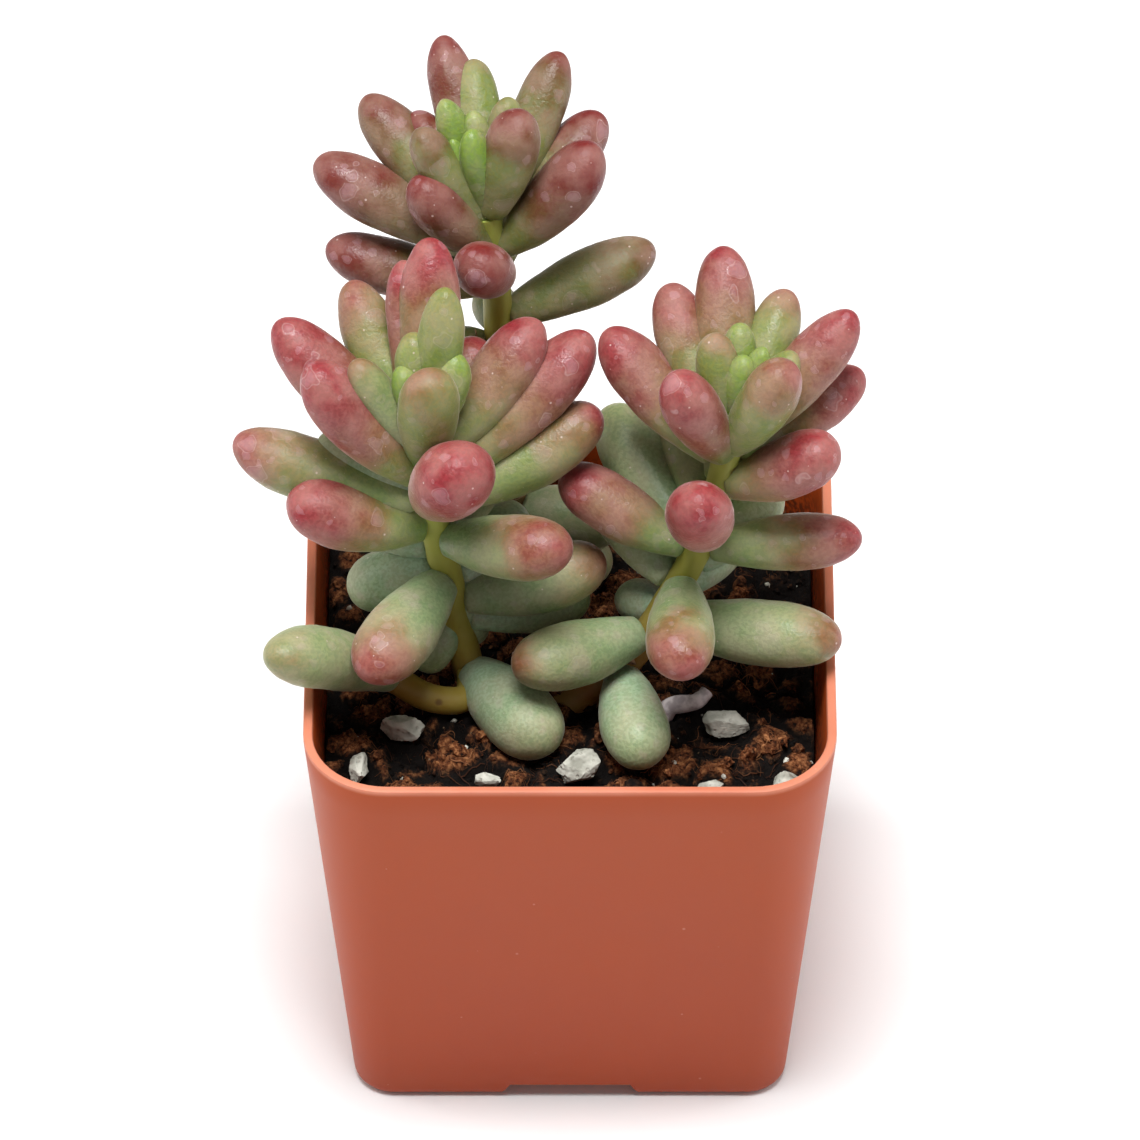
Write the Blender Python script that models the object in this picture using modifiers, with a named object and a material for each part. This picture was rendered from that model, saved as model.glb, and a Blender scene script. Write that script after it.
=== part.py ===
"""Potted jelly bean sedum: a square terracotta-coloured plastic pot, soil, three leafy stems and pumice.

The origin is the centre of the pot's flat underside, +Z is up and the front of the pot faces -Y.
Sizes are in millimetres up to the point where a mesh or a place is made, which is in metres.
"""
import math

import bmesh
import bpy
import numpy as np
from mathutils import Matrix, Vector, noise

MM = 0.001
COLLECTION = "potted_jelly_bean_sedum"

# Pot, seen from above a square with round corners, narrower at the foot than at the rim
POT_WIDTH = 60.0
POT_HEIGHT = 55.0
POT_FOOT_WIDTH = 49.5
POT_WALL = 1.1
POT_FLOOR = 3.2
POT_CORNER_RADIUS = 9.5
POT_FOOT_CORNER_RADIUS = 4.5
CORNER_STEPS = 7
POT_FOOT_ROUNDING = 1.4
INSIDE_FOOT_ROUNDING = 1.0
FOOT_STEPS = 4
RIM_ROUNDING = 0.3
CHANNEL_WIDTH = 13.8
CHANNEL_FOOT_WIDTH = 16.4
CHANNEL_HEIGHT = 2.2
CHANNEL_LENGTH = 8.0
DRAIN_RADIUS = 2.5
DRAIN_SPACING = 13.0

# Soil, with its surface below the rim
CLEARANCE = 0.35
SOIL_LEVEL = 45.5
SOIL_RELIEF = 1.3
SOIL_CELLS = 20

# Stems: points of each centre line, as x, y and height over the soil
STEM_RADIUS = 1.9
STEM_TOP_RADIUS = 1.6
STEM_SIDES = 8
STEM_STEPS = 5
STEM_POINTS = {
    "left": [(-10.0, -0.6, -12), (-11.2, -1.0, -2), (-13.6, -1.5, 14), (-15.8, -2.0, 29), (-15.8, -1.8, 37)],
    "right": [(-12.0, -9.0, -12), (-3.6, -6.2, -3.2), (6.5, -3.8, 4.5), (14.6, -2.8, 22), (18.2, -1.9, 38.5)],
    "back": [(-4.5, 12.5, -12), (-5.5, 13.5, -2), (-7.6, 17.0, 24), (-8.4, 18.4, 44), (-9.3, 18.8, 52.5)],
}

# Leaves: their sides and rings, where they are fullest and how thick their neck is as shares, and how
# far from the middle line of the stem they start
LEAF_SIDES = 9
LEAF_RINGS = 7
LEAF_FULLEST = 0.6
LEAF_NECK = 0.5
LEAF_FLATNESS = 0.9
LEAF_START = 1.1

# Each leaf: height of its root over the soil, azimuth (0 is right, 90 is back, -90 is front),
# rise of the line from root to tip, curl upwards along it, length and width
LEAVES = {
    "left": [
        (35.5, 89, 56, 6, 24.0, 7.0), (34.5, 102, 53, 10, 22.3, 5.4), (34.5, 119, 34, 12, 21.8, 6.8),
        (36, 72, 70, 6, 19.5, 5.4), (34, 150, 32, 20, 23.0, 7.6), (31, 172, 50, 20, 20.5, 7.8),
        (34.5, 165, 56, 10, 15.1, 4.8), (36.5, 110, 66, 8, 13.3, 4.8), (36, 145, 69, -8, 10.8, 4.2),
        (36.8, 80, 63, 0, 9.6, 2.8), (36.5, 39, 69, 5, 12.0, 5.0), (33, -70, 84, -12, 15.5, 7.2),
        (34, 41, 35, 20, 20.0, 7.2), (31, 31, 30, 26, 24.6, 7.8), (28, 20, 20, 35, 21.5, 7.8),
        (28, -66, 55, 10, 17.0, 9.4), (28, 169, 13, 22, 23.0, 7.8), (24, -168, 24, 30, 18.0, 8.2),
        (29, 158, 16, 20, 14.0, 5.6), (22, -30, 20, 12, 18.0, 8.0), (12, 6, 15, 24, 18.0, 8.0),
        (18, 165, -32, 12, 13.0, 7.6), (16, -119, 0, 10, 18.5, 8.4), (0.9, -58, 5, -6, 17.5, 8.8),
        (20, 142, 0, 15, 10.5, 6.4), (15, 50, 10, 15, 13.0, 6.6), (15.5, 49, -71, 0, 13.8, 5.6),
        (26, 100, 14, 20, 17.0, 7.4), (21, 70, 8, 20, 16.0, 7.4), (9, 13, 0, 8, 15.5, 6.6),
        (33, 66, 30, 20, 16.0, 7.0), (31, 112, 26, 20, 17.0, 7.0), (9, -165, -55, 0, 8.2, 5.6),
    ],
    "right": [
        (36.5, 92, 39, 8, 22.5, 7.0), (36, 114, 33, 10, 20.0, 6.8), (37, 64, 35, 8, 18.5, 6.0),
        (36, 28, 41, 14, 21.0, 6.6), (35, 30, 14, 20, 18.3, 6.4), (34, 143, 33, 18, 20.0, 7.2),
        (37, 114, 70, 5, 13.3, 5.4), (38, 81, 63, 5, 13.1, 4.2), (38.3, 55, 77, -5, 10.2, 3.8),
        (38.2, 37, 67, 0, 11.5, 3.4), (37.5, 25, 52, 5, 12.6, 4.4), (36, -12, 65, 12, 15.4, 7.0),
        (35, -160, 66, 12, 15.0, 7.2), (30.5, -10, 32, 20, 15.5, 7.6), (21, 159, 22, 18, 17.5, 7.2),
        (23, -94, 58, 8, 17.0, 7.8), (21.5, -2, 6, 4, 18.5, 6.8), (22, 123, 18, 20, 20.0, 8.0),
        (16.5, -91, 9, 10, 17.5, 7.8), (10.5, -19, 9, 3, 22.0, 8.0), (9, -152, 6, 12, 17.5, 8.0),
        (3.4, -80, 0, -4, 15.5, 7.8), (18, 35, 28, 12, 14.2, 7.0), (15, 62, -6, 10, 13.0, 7.0),
        (15.5, 128, 22, 12, 15.0, 6.8), (12, 120, -30, 5, 9.5, 5.5), (30, 78, 20, 20, 17.0, 7.2),
        (26, 100, 12, 20, 17.0, 7.4), (33, 72, 32, 20, 14.0, 6.6), (20, 85, 2, 18, 15.0, 7.2),
    ],
    "back": [
        (51, 108, 38, 8, 22.0, 5.8), (52, 97, 39, 6, 18.0, 5.4), (51, 61, 38, 22, 21.0, 6.0),
        (49.5, 41, 27, 22, 18.6, 6.6), (47, 10, 51, 30, 18.2, 7.4), (52, 27, 73, 10, 14.6, 6.8),
        (52, 140, 78, -5, 11.8, 4.0), (51.5, 134, 62, 5, 15.3, 4.2), (52.4, 109, 67, 0, 12.4, 3.6),
        (52, 151, 65, 0, 10.9, 2.8), (51.5, 66, 66, 6, 14.8, 4.4), (50.5, 168, 58, 12, 15.4, 5.6),
        (49.5, 139, 27, 15, 21.1, 6.8), (50, 129, 31, 10, 16.1, 5.4), (48, 163, 19, 20, 22.0, 7.4),
        (47, -169, 54, 15, 14.9, 6.8), (42, 172, 10, 20, 19.7, 6.8), (43, -104, 50, 8, 12.5, 7.0),
        (37, 17, 18, 0, 19.5, 7.0), (44, 82, 26, 20, 17.0, 7.0), (48, 66, 34, 18, 15.0, 6.6),
        (40, 112, 18, 20, 17.0, 7.2), (34, 178, -10, 8, 6.5, 4.6), (35, 95, -4, 8, 8.0, 5.2),
        (20, 84, -4, 14, 14.0, 7.2), (22, 130, 0, 18, 16.0, 7.4), (11, -10, -6, 12, 13.0, 7.6),
        (3.5, -20, 14, 10, 11.5, 6.8), (17, 45, -6, 14, 13.0, 7.0), (9, 110, 6, 12, 12.0, 7.2),
        (27, 172, 4, 16, 11.0, 6.4),
    ],
}
LOW_LEAF_HEIGHT = 8.5

# A short old shoot that creeps over the soil from the foot of the left plant, and the leaf at its end
CREEPER_POINTS = [(-11.4, -1.6, 1.0), (-11.8, -6.2, 0.9), (-15.6, -7.2, 1.6), (-20.0, -5.6, 3.3)]
CREEPER_RADII = (1.5, 1.7)
CREEPER_LEAF = (-138, 40, -22, 24.0, 7.8)

# Pumice: x, y, how far the middle stands over the soil, and the three half sizes
PUMICE = [
    (-19.2, -10.7, 0.5, 2.5, 1.4, 1.8), (1.4, -16.8, 0.7, 2.6, 2.1, 2.0), (17.7, -9.8, 0.3, 2.5, 1.7, 1.5),
    (-24.0, -17.4, 0.5, 1.2, 1.9, 1.5), (-9.5, -18.2, 0.3, 1.7, 0.9, 0.9), (15.9, -20.0, 0.2, 1.4, 1.0, 1.1),
    (24.2, -19.0, 0.4, 1.6, 1.3, 1.3), (19.0, 19.0, 0.5, 2.2, 1.8, 1.7), (-20.0, 21.0, 0.4, 1.9, 2.2, 1.6),
]
ROOT_PIECE = [(10.4, -7.6, -1.0), (11.6, -7.3, 0.6), (14.0, -7.3, 1.1), (15.0, -6.7, 1.4), (15.6, -6.0, 1.7)]
ROOT_PIECE_RADIUS = 1.0


def clear_scene():
    for obj in list(bpy.data.objects):
        bpy.data.objects.remove(obj, do_unlink=True)


def new_collection(name):
    collection = bpy.data.collections.new(name)
    bpy.context.scene.collection.children.link(collection)
    return collection


def material(name, colour, roughness):
    made = bpy.data.materials.new(name)
    made.use_nodes = True
    shader = made.node_tree.nodes["Principled BSDF"]
    shader.inputs["Base Color"].default_value = (*colour, 1.0)
    shader.inputs["Roughness"].default_value = roughness
    shader.inputs["Metallic"].default_value = 0.0
    return made


def add_object(name, bm, collection, finish=None):
    """Turn a bmesh in millimetres into an object in metres."""
    bmesh.ops.scale(bm, vec=(MM, MM, MM), verts=bm.verts)
    bmesh.ops.recalc_face_normals(bm, faces=bm.faces)
    mesh = bpy.data.meshes.new(name)
    bm.to_mesh(mesh)
    bm.free()
    obj = bpy.data.objects.new(name, mesh)
    collection.objects.link(obj)
    if finish:
        mesh.materials.append(finish)
    return obj


def boolean(obj, operation, tools, solver="EXACT"):
    """Join, cut or intersect with a collection of objects, and apply it."""
    modifier = obj.modifiers.new(operation.lower(), "BOOLEAN")
    modifier.operation = operation
    modifier.solver = solver
    modifier.operand_type = "COLLECTION"
    modifier.collection = tools
    graph = bpy.context.evaluated_depsgraph_get()
    result = bpy.data.meshes.new_from_object(obj.evaluated_get(graph))
    obj.modifiers.remove(modifier)
    old = obj.data
    obj.data = result
    result.name = obj.name
    bpy.data.meshes.remove(old)


def empty_collection(collection):
    for obj in list(collection.objects):
        bpy.data.objects.remove(obj, do_unlink=True)


def width_at(height, wall=0.0):
    """The pot's width at a height, less this much wall on each side."""
    share = height / POT_HEIGHT
    return POT_FOOT_WIDTH + (POT_WIDTH - POT_FOOT_WIDTH) * share - 2 * wall


def corner_radius_at(height, wall=0.0):
    """The radius of the pot's upright corners at a height, this far inside its outer face."""
    share = height / POT_HEIGHT
    return POT_FOOT_CORNER_RADIUS + (POT_CORNER_RADIUS - POT_FOOT_CORNER_RADIUS) * share - wall


def rounded_square(bm, width, radius, height):
    """A ring of points round a square with round corners."""
    straight = width / 2 - radius
    ring = []
    for right, back in ((1, 1), (-1, 1), (-1, -1), (1, -1)):
        start = math.atan2(back, right) - math.pi / 4
        for angle in np.linspace(start, start + math.pi / 2, CORNER_STEPS):
            across = right * straight + radius * math.cos(angle)
            deep = back * straight + radius * math.sin(angle)
            ring.append(bm.verts.new((across, deep, height)))
    return ring


def tapered_box(bottom, top, wall, foot_rounding):
    """A block with the pot's taper and round corners, between two heights."""
    bm = bmesh.new()
    rings = []
    for angle in np.linspace(0, math.pi / 2, FOOT_STEPS):
        height = bottom + foot_rounding * (1 - math.cos(angle))
        inset = wall + foot_rounding * (1 - math.sin(angle))
        rings.append(rounded_square(bm, width_at(height, inset), corner_radius_at(height, inset), height))
    rings.append(rounded_square(bm, width_at(top, wall), corner_radius_at(top, wall), top))
    for low, high in zip(rings, rings[1:]):
        for number in range(len(low)):
            follows = (number + 1) % len(low)
            bm.faces.new((low[number], low[follows], high[follows], high[number]))
    bm.faces.new(rings[0])
    bm.faces.new(rings[-1])
    bmesh.ops.recalc_face_normals(bm, faces=bm.faces)
    return bm


def foot_channel(turn):
    """The block that one channel of the foot is cut with, wider at the ground than at its top."""
    bm = bmesh.new()
    bmesh.ops.create_cube(bm, size=1.0)
    for vert in bm.verts:
        vert.co.x *= CHANNEL_WIDTH if vert.co.z > 0 else 2 * CHANNEL_FOOT_WIDTH - CHANNEL_WIDTH
        vert.co.y = vert.co.y * CHANNEL_LENGTH - POT_FOOT_WIDTH / 2
        vert.co.z *= 2 * CHANNEL_HEIGHT
    bmesh.ops.rotate(bm, matrix=Matrix.Rotation(turn * math.pi / 2, 3, "Z"), verts=bm.verts)
    return bm


def build_pot(collection, cutters):
    bm = tapered_box(0.0, POT_HEIGHT, 0.0, POT_FOOT_ROUNDING)
    pot = add_object("pot", bm, collection, material("terracotta_plastic", (0.42, 0.11, 0.055), 0.4))
    inside = tapered_box(POT_FLOOR, POT_HEIGHT + 5, POT_WALL, INSIDE_FOOT_ROUNDING)
    add_object("pot_inside", inside, cutters)
    for turn in range(4):
        add_object(f"foot_channel_{turn}", foot_channel(turn), cutters)
        drain = bmesh.new()
        bmesh.ops.create_cone(
            drain, cap_ends=True, segments=16, radius1=DRAIN_RADIUS, radius2=DRAIN_RADIUS, depth=4 * POT_FLOOR
        )
        bmesh.ops.translate(drain, vec=(DRAIN_SPACING, DRAIN_SPACING, 0), verts=drain.verts)
        bmesh.ops.rotate(drain, matrix=Matrix.Rotation(turn * math.pi / 2, 3, "Z"), verts=drain.verts)
        add_object(f"drain_{turn}", drain, cutters)
    boolean(pot, "DIFFERENCE", cutters)
    empty_collection(cutters)
    rim = pot.modifiers.new("rim_rounding", "BEVEL")
    rim.width = RIM_ROUNDING * MM
    rim.segments = 2
    rim.limit_method = "WEIGHT"
    weigh_rim(pot)
    return pot


def weigh_rim(pot):
    """Mark the two edges of the rim for the Bevel modifier."""
    bm = bmesh.new()
    bm.from_mesh(pot.data)
    weight = bm.edges.layers.float.new("bevel_weight_edge")
    for edge in bm.edges:
        level = all(abs(vert.co.z - POT_HEIGHT * MM) < 0.01 * MM for vert in edge.verts)
        flat = all(abs(face.normal.z) > 0.99 for face in edge.link_faces)
        edge[weight] = 1.0 if level and not flat else 0.0
    bm.to_mesh(pot.data)
    bm.free()


def soil_height(x, y):
    """Height of the soil's surface at a place, in millimetres: clods, crumbs and a slight dish."""
    clods = noise.noise(Vector((x * 0.16, y * 0.16, 3.7)))
    crumbs = noise.noise(Vector((x * 0.45, y * 0.45, 9.1)))
    dish = 0.5 * (max(abs(x), abs(y)) / (POT_WIDTH / 2)) ** 4
    return SOIL_LEVEL + SOIL_RELIEF * (clods + 0.5 * crumbs) - dish


def build_soil(collection, cutters):
    """The pot's inside, less a clearance, kept where it lies under a bumpy surface."""
    wall = POT_WALL + CLEARANCE
    block = tapered_box(POT_FLOOR + CLEARANCE, POT_HEIGHT, wall, INSIDE_FOOT_ROUNDING)
    soil = add_object("soil", block, collection, material("soil", (0.035, 0.02, 0.012), 0.95))
    slab = bmesh.new()
    bmesh.ops.create_grid(slab, x_segments=SOIL_CELLS, y_segments=SOIL_CELLS, size=POT_WIDTH / 2)
    for vert in slab.verts:
        vert.co.z = soil_height(vert.co.x, vert.co.y)
    top = list(slab.faces)
    sunk = bmesh.ops.extrude_face_region(slab, geom=top)["geom"]
    for vert in [item for item in sunk if isinstance(item, bmesh.types.BMVert)]:
        vert.co.z = -1.0
    add_object("soil_surface", slab, cutters)
    boolean(soil, "INTERSECT", cutters)
    empty_collection(cutters)
    return soil


def smooth_path(points, steps):
    """Points of a Catmull-Rom curve through these points."""
    known = [Vector(point) for point in points]
    ends = [2 * known[0] - known[1], *known, 2 * known[-1] - known[-2]]
    path = []
    for before, start, end, after in zip(ends, ends[1:], ends[2:], ends[3:]):
        for step in range(steps):
            t = step / steps
            path.append(
                0.5 * (2 * start + (end - before) * t + (2 * before - 5 * start + 4 * end - after) * t**2
                       + (3 * start - before - 3 * end + after) * t**3)
            )
    path.append(known[-1])
    return path


def tube(name, path, radii, collection, finish=None, sides=STEM_SIDES):
    """A closed tube along a path, made from a curve with a bevel."""
    curve = bpy.data.curves.new(name, "CURVE")
    curve.dimensions = "3D"
    curve.bevel_depth = MM
    curve.bevel_resolution = sides // 2 - 2
    curve.use_fill_caps = True
    spline = curve.splines.new("POLY")
    spline.points.add(len(path) - 1)
    for point, place, radius in zip(spline.points, path, radii):
        point.co = (*(place * MM), 1.0)
        point.radius = radius
    guide = bpy.data.objects.new(name + "_curve", curve)
    collection.objects.link(guide)
    graph = bpy.context.evaluated_depsgraph_get()
    mesh = bpy.data.meshes.new_from_object(guide.evaluated_get(graph))
    bpy.data.objects.remove(guide, do_unlink=True)
    bm = bmesh.new()
    bm.from_mesh(mesh)
    bpy.data.meshes.remove(mesh)
    bmesh.ops.remove_doubles(bm, verts=bm.verts, dist=0.00001)
    bmesh.ops.scale(bm, vec=(1 / MM, 1 / MM, 1 / MM), verts=bm.verts)
    return add_object(name, bm, collection, finish)


def stem_path(plant):
    lifted = [(x, y, height + SOIL_LEVEL) for x, y, height in STEM_POINTS[plant]]
    return smooth_path(lifted, STEM_STEPS)


def stem_radii(path, extra=0.0):
    """The stem thins towards its top."""
    low, high = path[0].z, path[-1].z
    return [
        STEM_RADIUS + (STEM_TOP_RADIUS - STEM_RADIUS) * (point.z - low) / (high - low) + extra
        for point in path
    ]


def point_on_stem(path, height):
    heights = [point.z for point in path]
    return Vector([float(np.interp(height, heights, [point[axis] for point in path])) for axis in range(3)])


def leaf_half_width(share):
    """Half the width of a leaf as a share of its fullest half width, from root (0) to tip (1)."""
    if share < LEAF_FULLEST:
        swell = math.sin(0.5 * math.pi * share / LEAF_FULLEST)
        return (LEAF_NECK + (1 - LEAF_NECK) * swell) * min(1.0, math.sqrt(share / 0.03))
    beyond = (share - LEAF_FULLEST) / (1 - LEAF_FULLEST)
    return math.sqrt(max(0.0, 1 - beyond**2.4))


def leaf(root, azimuth, rise, curl, length, width):
    """A plump leaf: a ball drawn out along an arc that curls upwards towards the tip."""
    bm = bmesh.new()
    bmesh.ops.create_uvsphere(bm, u_segments=LEAF_SIDES, v_segments=LEAF_RINGS, radius=1.0)
    turn = Matrix.Rotation(math.radians(azimuth), 3, "Z")
    for vert in bm.verts:
        share = (vert.co.z + 1) / 2
        around = math.atan2(vert.co.y, vert.co.x)
        ring = leaf_half_width(share) * width / 2 if 0.001 < share < 0.999 else 0.0
        tilt = math.radians(rise + curl * (share - 0.5))
        sag = math.radians(curl) / 2 * share * (1 - share) * length
        chord = math.radians(rise)
        start = LEAF_START * math.cos(chord)
        along = Vector((math.cos(chord), 0, math.sin(chord))) * (start + share * (length - start))
        dip = Vector((math.sin(chord), 0, -math.cos(chord))) * sag
        side = Vector((0, 1, 0)) * ring * math.cos(around)
        thick = Vector((-math.sin(tilt), 0, math.cos(tilt))) * ring * LEAF_FLATNESS * math.sin(around)
        vert.co = root + turn @ (along + dip + side + thick)
    return bm


def add_creeper(collection, extra=0.0):
    """The creeping shoot and its leaf, or with some extra all round, what makes room for them."""
    path = smooth_path([(x, y, height + SOIL_LEVEL) for x, y, height in CREEPER_POINTS], STEM_STEPS)
    thin, thick = CREEPER_RADII
    radii = [thin + (thick - thin) * step / (len(path) - 1) + extra for step in range(len(path))]
    tube("creeper", path, radii, collection)
    *shape, width = CREEPER_LEAF
    add_object("creeper_leaf", leaf(path[-1], *shape, width + 2 * extra), collection)


def keep_outer_skin(obj):
    """Drop the walls of any hollow that the leaves close off between them."""
    bm = bmesh.new()
    bm.from_mesh(obj.data)
    waiting = set(bm.verts)
    skins = []
    while waiting:
        skin = {waiting.pop()}
        edge_of_skin = list(skin)
        while edge_of_skin:
            vert = edge_of_skin.pop()
            fresh = {edge.other_vert(vert) for edge in vert.link_edges} - skin
            skin |= fresh
            edge_of_skin += fresh
        waiting -= skin
        skins.append(skin)
    outer = max(skins, key=len)
    bmesh.ops.delete(bm, geom=[vert for vert in bm.verts if vert not in outer], context="VERTS")
    bm.to_mesh(obj.data)
    bm.free()


def build_leafy_stem(plant, collection, tools, finish):
    path = stem_path(plant)
    stem = tube(f"leafy_stem_{plant}", path, stem_radii(path), collection, finish)
    for number, (height, *shape) in enumerate(LEAVES[plant]):
        root = point_on_stem(path, height + SOIL_LEVEL)
        add_object(f"leaf_{number}", leaf(root, *shape), tools)
    if plant == "left":
        add_creeper(tools)
    boolean(stem, "UNION", tools, solver="MANIFOLD")
    empty_collection(tools)
    keep_outer_skin(stem)
    stem.data.shade_smooth()
    return stem


def rough_stone(place, half_sizes, seed, grow=0.0):
    """An angular stone: a ball pushed in and out by noise, then given its three sizes."""
    bm = bmesh.new()
    bmesh.ops.create_icosphere(bm, subdivisions=2, radius=1.0)
    for vert in bm.verts:
        push = noise.noise(vert.co * 1.3 + Vector((seed * 7.3, seed * 3.1, 0.5)))
        vert.co *= 1 + 0.32 * push
        vert.co = Vector([axis * (half + grow) for axis, half in zip(vert.co, half_sizes)])
        vert.co += place
    return bm


def build_pumice(collection, cutters, finish):
    """The stones, and a slightly larger copy of each that cuts its seat in the soil."""
    for number, (x, y, lift, *half_sizes) in enumerate(PUMICE, 1):
        place = Vector((x, y, soil_height(x, y) + lift))
        add_object(f"pumice_{number}", rough_stone(place, half_sizes, number), collection, finish)
        add_object(f"pumice_seat_{number}", rough_stone(place, half_sizes, number, CLEARANCE), cutters)


def build_root_piece(collection, cutters, finish):
    """A short curled piece of dry root that lies half in the soil."""
    path = smooth_path([(x, y, height + SOIL_LEVEL) for x, y, height in ROOT_PIECE], 3)
    radii = [ROOT_PIECE_RADIUS] * len(path)
    tube("root_piece", path, radii, collection, finish)
    tube("root_piece_seat", path, [radius + CLEARANCE for radius in radii], cutters)


def add_plant_cutters(cutters):
    """What makes room in the soil: a plain hole for each stem, and a hollow under each low leaf."""
    for plant in STEM_POINTS:
        path = stem_path(plant)
        below = path[0] + (path[0] - path[1]).normalized() * CLEARANCE
        tube(f"stem_hole_{plant}", [below, *path[1:]], stem_radii(path, CLEARANCE), cutters)
        for number, (height, azimuth, rise, curl, length, width) in enumerate(LEAVES[plant]):
            if height < LOW_LEAF_HEIGHT:
                root = point_on_stem(path, height + SOIL_LEVEL)
                larger = leaf(root, azimuth, rise, curl, length + CLEARANCE, width + 3 * CLEARANCE)
                add_object(f"hollow_{plant}_{number}", larger, cutters)
    add_creeper(cutters, CLEARANCE)


def main():
    clear_scene()
    collection = new_collection(COLLECTION)
    cutters = new_collection("cutters")
    build_pot(collection, cutters)
    soil = build_soil(collection, cutters)
    leaf_finish = material("sedum_leaf", (0.36, 0.33, 0.19), 0.42)
    for plant in STEM_POINTS:
        build_leafy_stem(plant, collection, cutters, leaf_finish)
    build_pumice(collection, cutters, material("pumice", (0.55, 0.54, 0.48), 0.95))
    build_root_piece(collection, cutters, material("dry_root", (0.33, 0.27, 0.27), 0.8))
    add_plant_cutters(cutters)
    boolean(soil, "DIFFERENCE", cutters, solver="MANIFOLD")
    empty_collection(cutters)
    bpy.data.collections.remove(cutters)


main()
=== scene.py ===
# %% [markdown]
# # A potted jelly bean sedum
# The real object is a young succulent in a square nursery pot: three upright stems, each crowded with
# plump leaves that are green at the root and rose-red where the sun has caught them. The solids of the
# part are already packed and open here as the frame. Each cell below gives one piece of it its finish,
# or builds a finer skin over a plain solid, in the same place.

# %% Open the frame
import math

import bmesh
import bpy
import numpy as np
from mathutils import Matrix, Vector, noise


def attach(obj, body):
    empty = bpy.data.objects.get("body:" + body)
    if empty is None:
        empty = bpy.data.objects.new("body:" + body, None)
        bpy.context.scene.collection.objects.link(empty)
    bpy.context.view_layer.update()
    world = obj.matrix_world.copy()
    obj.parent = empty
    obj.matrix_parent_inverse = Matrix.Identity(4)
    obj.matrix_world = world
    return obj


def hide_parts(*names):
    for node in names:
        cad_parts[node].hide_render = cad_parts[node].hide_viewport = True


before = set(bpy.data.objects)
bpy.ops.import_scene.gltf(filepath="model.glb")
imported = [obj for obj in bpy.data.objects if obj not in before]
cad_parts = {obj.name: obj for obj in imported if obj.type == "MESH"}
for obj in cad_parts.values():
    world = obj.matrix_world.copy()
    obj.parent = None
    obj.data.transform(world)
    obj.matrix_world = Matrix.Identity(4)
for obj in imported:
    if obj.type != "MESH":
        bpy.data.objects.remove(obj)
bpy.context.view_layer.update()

MM = 0.001

# %% [markdown]
# ## Helpers for node trees
# Geometry Nodes and materials are both trees of nodes. Clicking them together is one way; here short
# helpers add a node, feed its inputs and hand back its results. A result can stand in a formula, where
# each sign adds one math node, so that a formula reads as a formula.

# %% Results that can stand in a formula


class Result:
    """What a node puts out. Each sign between two results, or a result and a number, is a math node."""

    def __init__(self, socket):
        self.socket = socket
        self.tree = socket.id_data

    def __add__(self, other):
        return calc(self.tree, "ADD", self, other)

    def __sub__(self, other):
        return calc(self.tree, "SUBTRACT", self, other)

    def __rsub__(self, other):
        return calc(self.tree, "SUBTRACT", other, self)

    def __mul__(self, other):
        return calc(self.tree, "MULTIPLY", self, other)

    def __truediv__(self, other):
        return calc(self.tree, "DIVIDE", self, other)

    def __rtruediv__(self, other):
        return calc(self.tree, "DIVIDE", other, self)

    def __pow__(self, other):
        return calc(self.tree, "POWER", self, other)


class Results:
    """All that a node puts out, by name or number."""

    def __init__(self, node):
        self.node = node

    def __getitem__(self, name):
        return Result(self.node.outputs[name])


# %% Add a node, or one step of a calculation


def feed(tree, socket, value):
    """Give an input a plain value, the result of another node, or each result of a list."""
    for item in value if isinstance(value, list) else [value]:
        if isinstance(item, Result):
            tree.links.new(item.socket, socket)
        else:
            socket.default_value = item


def add_node(tree, kind, inputs=None, **settings):
    node = tree.nodes.new(kind)
    for name, value in settings.items():
        setattr(node, name, value)
    for socket, value in (inputs or {}).items():
        feed(tree, node.inputs[socket], value)
    return Results(node)


def calc(tree, operation, *values, clamp=False):
    return add_node(tree, "ShaderNodeMath", dict(enumerate(values)), operation=operation, use_clamp=clamp)[0]


def calc_vector(tree, operation, *values):
    return add_node(tree, "ShaderNodeVectorMath", dict(enumerate(values)), operation=operation)[0]


def scaled(tree, vector, factor):
    return add_node(tree, "ShaderNodeVectorMath", {"Vector": vector, "Scale": factor}, operation="SCALE")[0]


def vector_of(tree, x, y, z):
    return add_node(tree, "ShaderNodeCombineXYZ", {"X": x, "Y": y, "Z": z})[0]


def parts_of(tree, vector):
    return add_node(tree, "ShaderNodeSeparateXYZ", {"Vector": vector})


def cloudy(tree, place, scale, detail, roughness=0.5):
    """Plain noise, mostly between 0.3 and 0.7."""
    inputs = {"Vector": place, "Scale": scale, "Detail": detail, "Roughness": roughness}
    return add_node(tree, "ShaderNodeTexNoise", inputs)["Fac"]


def rise_between(tree, value, low, high, bottom=0.0, top=1.0):
    """A smooth step of the value, from bottom at low to top at high."""
    inputs = {"Value": value, "From Min": low, "From Max": high, "To Min": bottom, "To Max": top}
    return add_node(tree, "ShaderNodeMapRange", inputs, interpolation_type="SMOOTHSTEP")[0]


# %% Start a tree with named inputs and outputs


def new_tree(kind, name, inputs, outputs):
    tree = bpy.data.node_groups.new(name, kind)
    for title, (socket_type, value) in inputs.items():
        socket = tree.interface.new_socket(title, in_out="INPUT", socket_type="NodeSocket" + socket_type)
        if value is not None:
            socket.default_value = value
    for title, socket_type in outputs.items():
        tree.interface.new_socket(title, in_out="OUTPUT", socket_type="NodeSocket" + socket_type)
    return tree, add_node(tree, "NodeGroupInput"), tree.nodes.new("NodeGroupOutput").inputs


def new_geometry_tree(name, inputs):
    return new_tree("GeometryNodeTree", name, inputs, {"Geometry": "Geometry"})


def add_object(name, mesh):
    obj = bpy.data.objects.new(name, mesh)
    bpy.context.scene.collection.objects.link(obj)
    return obj


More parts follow.
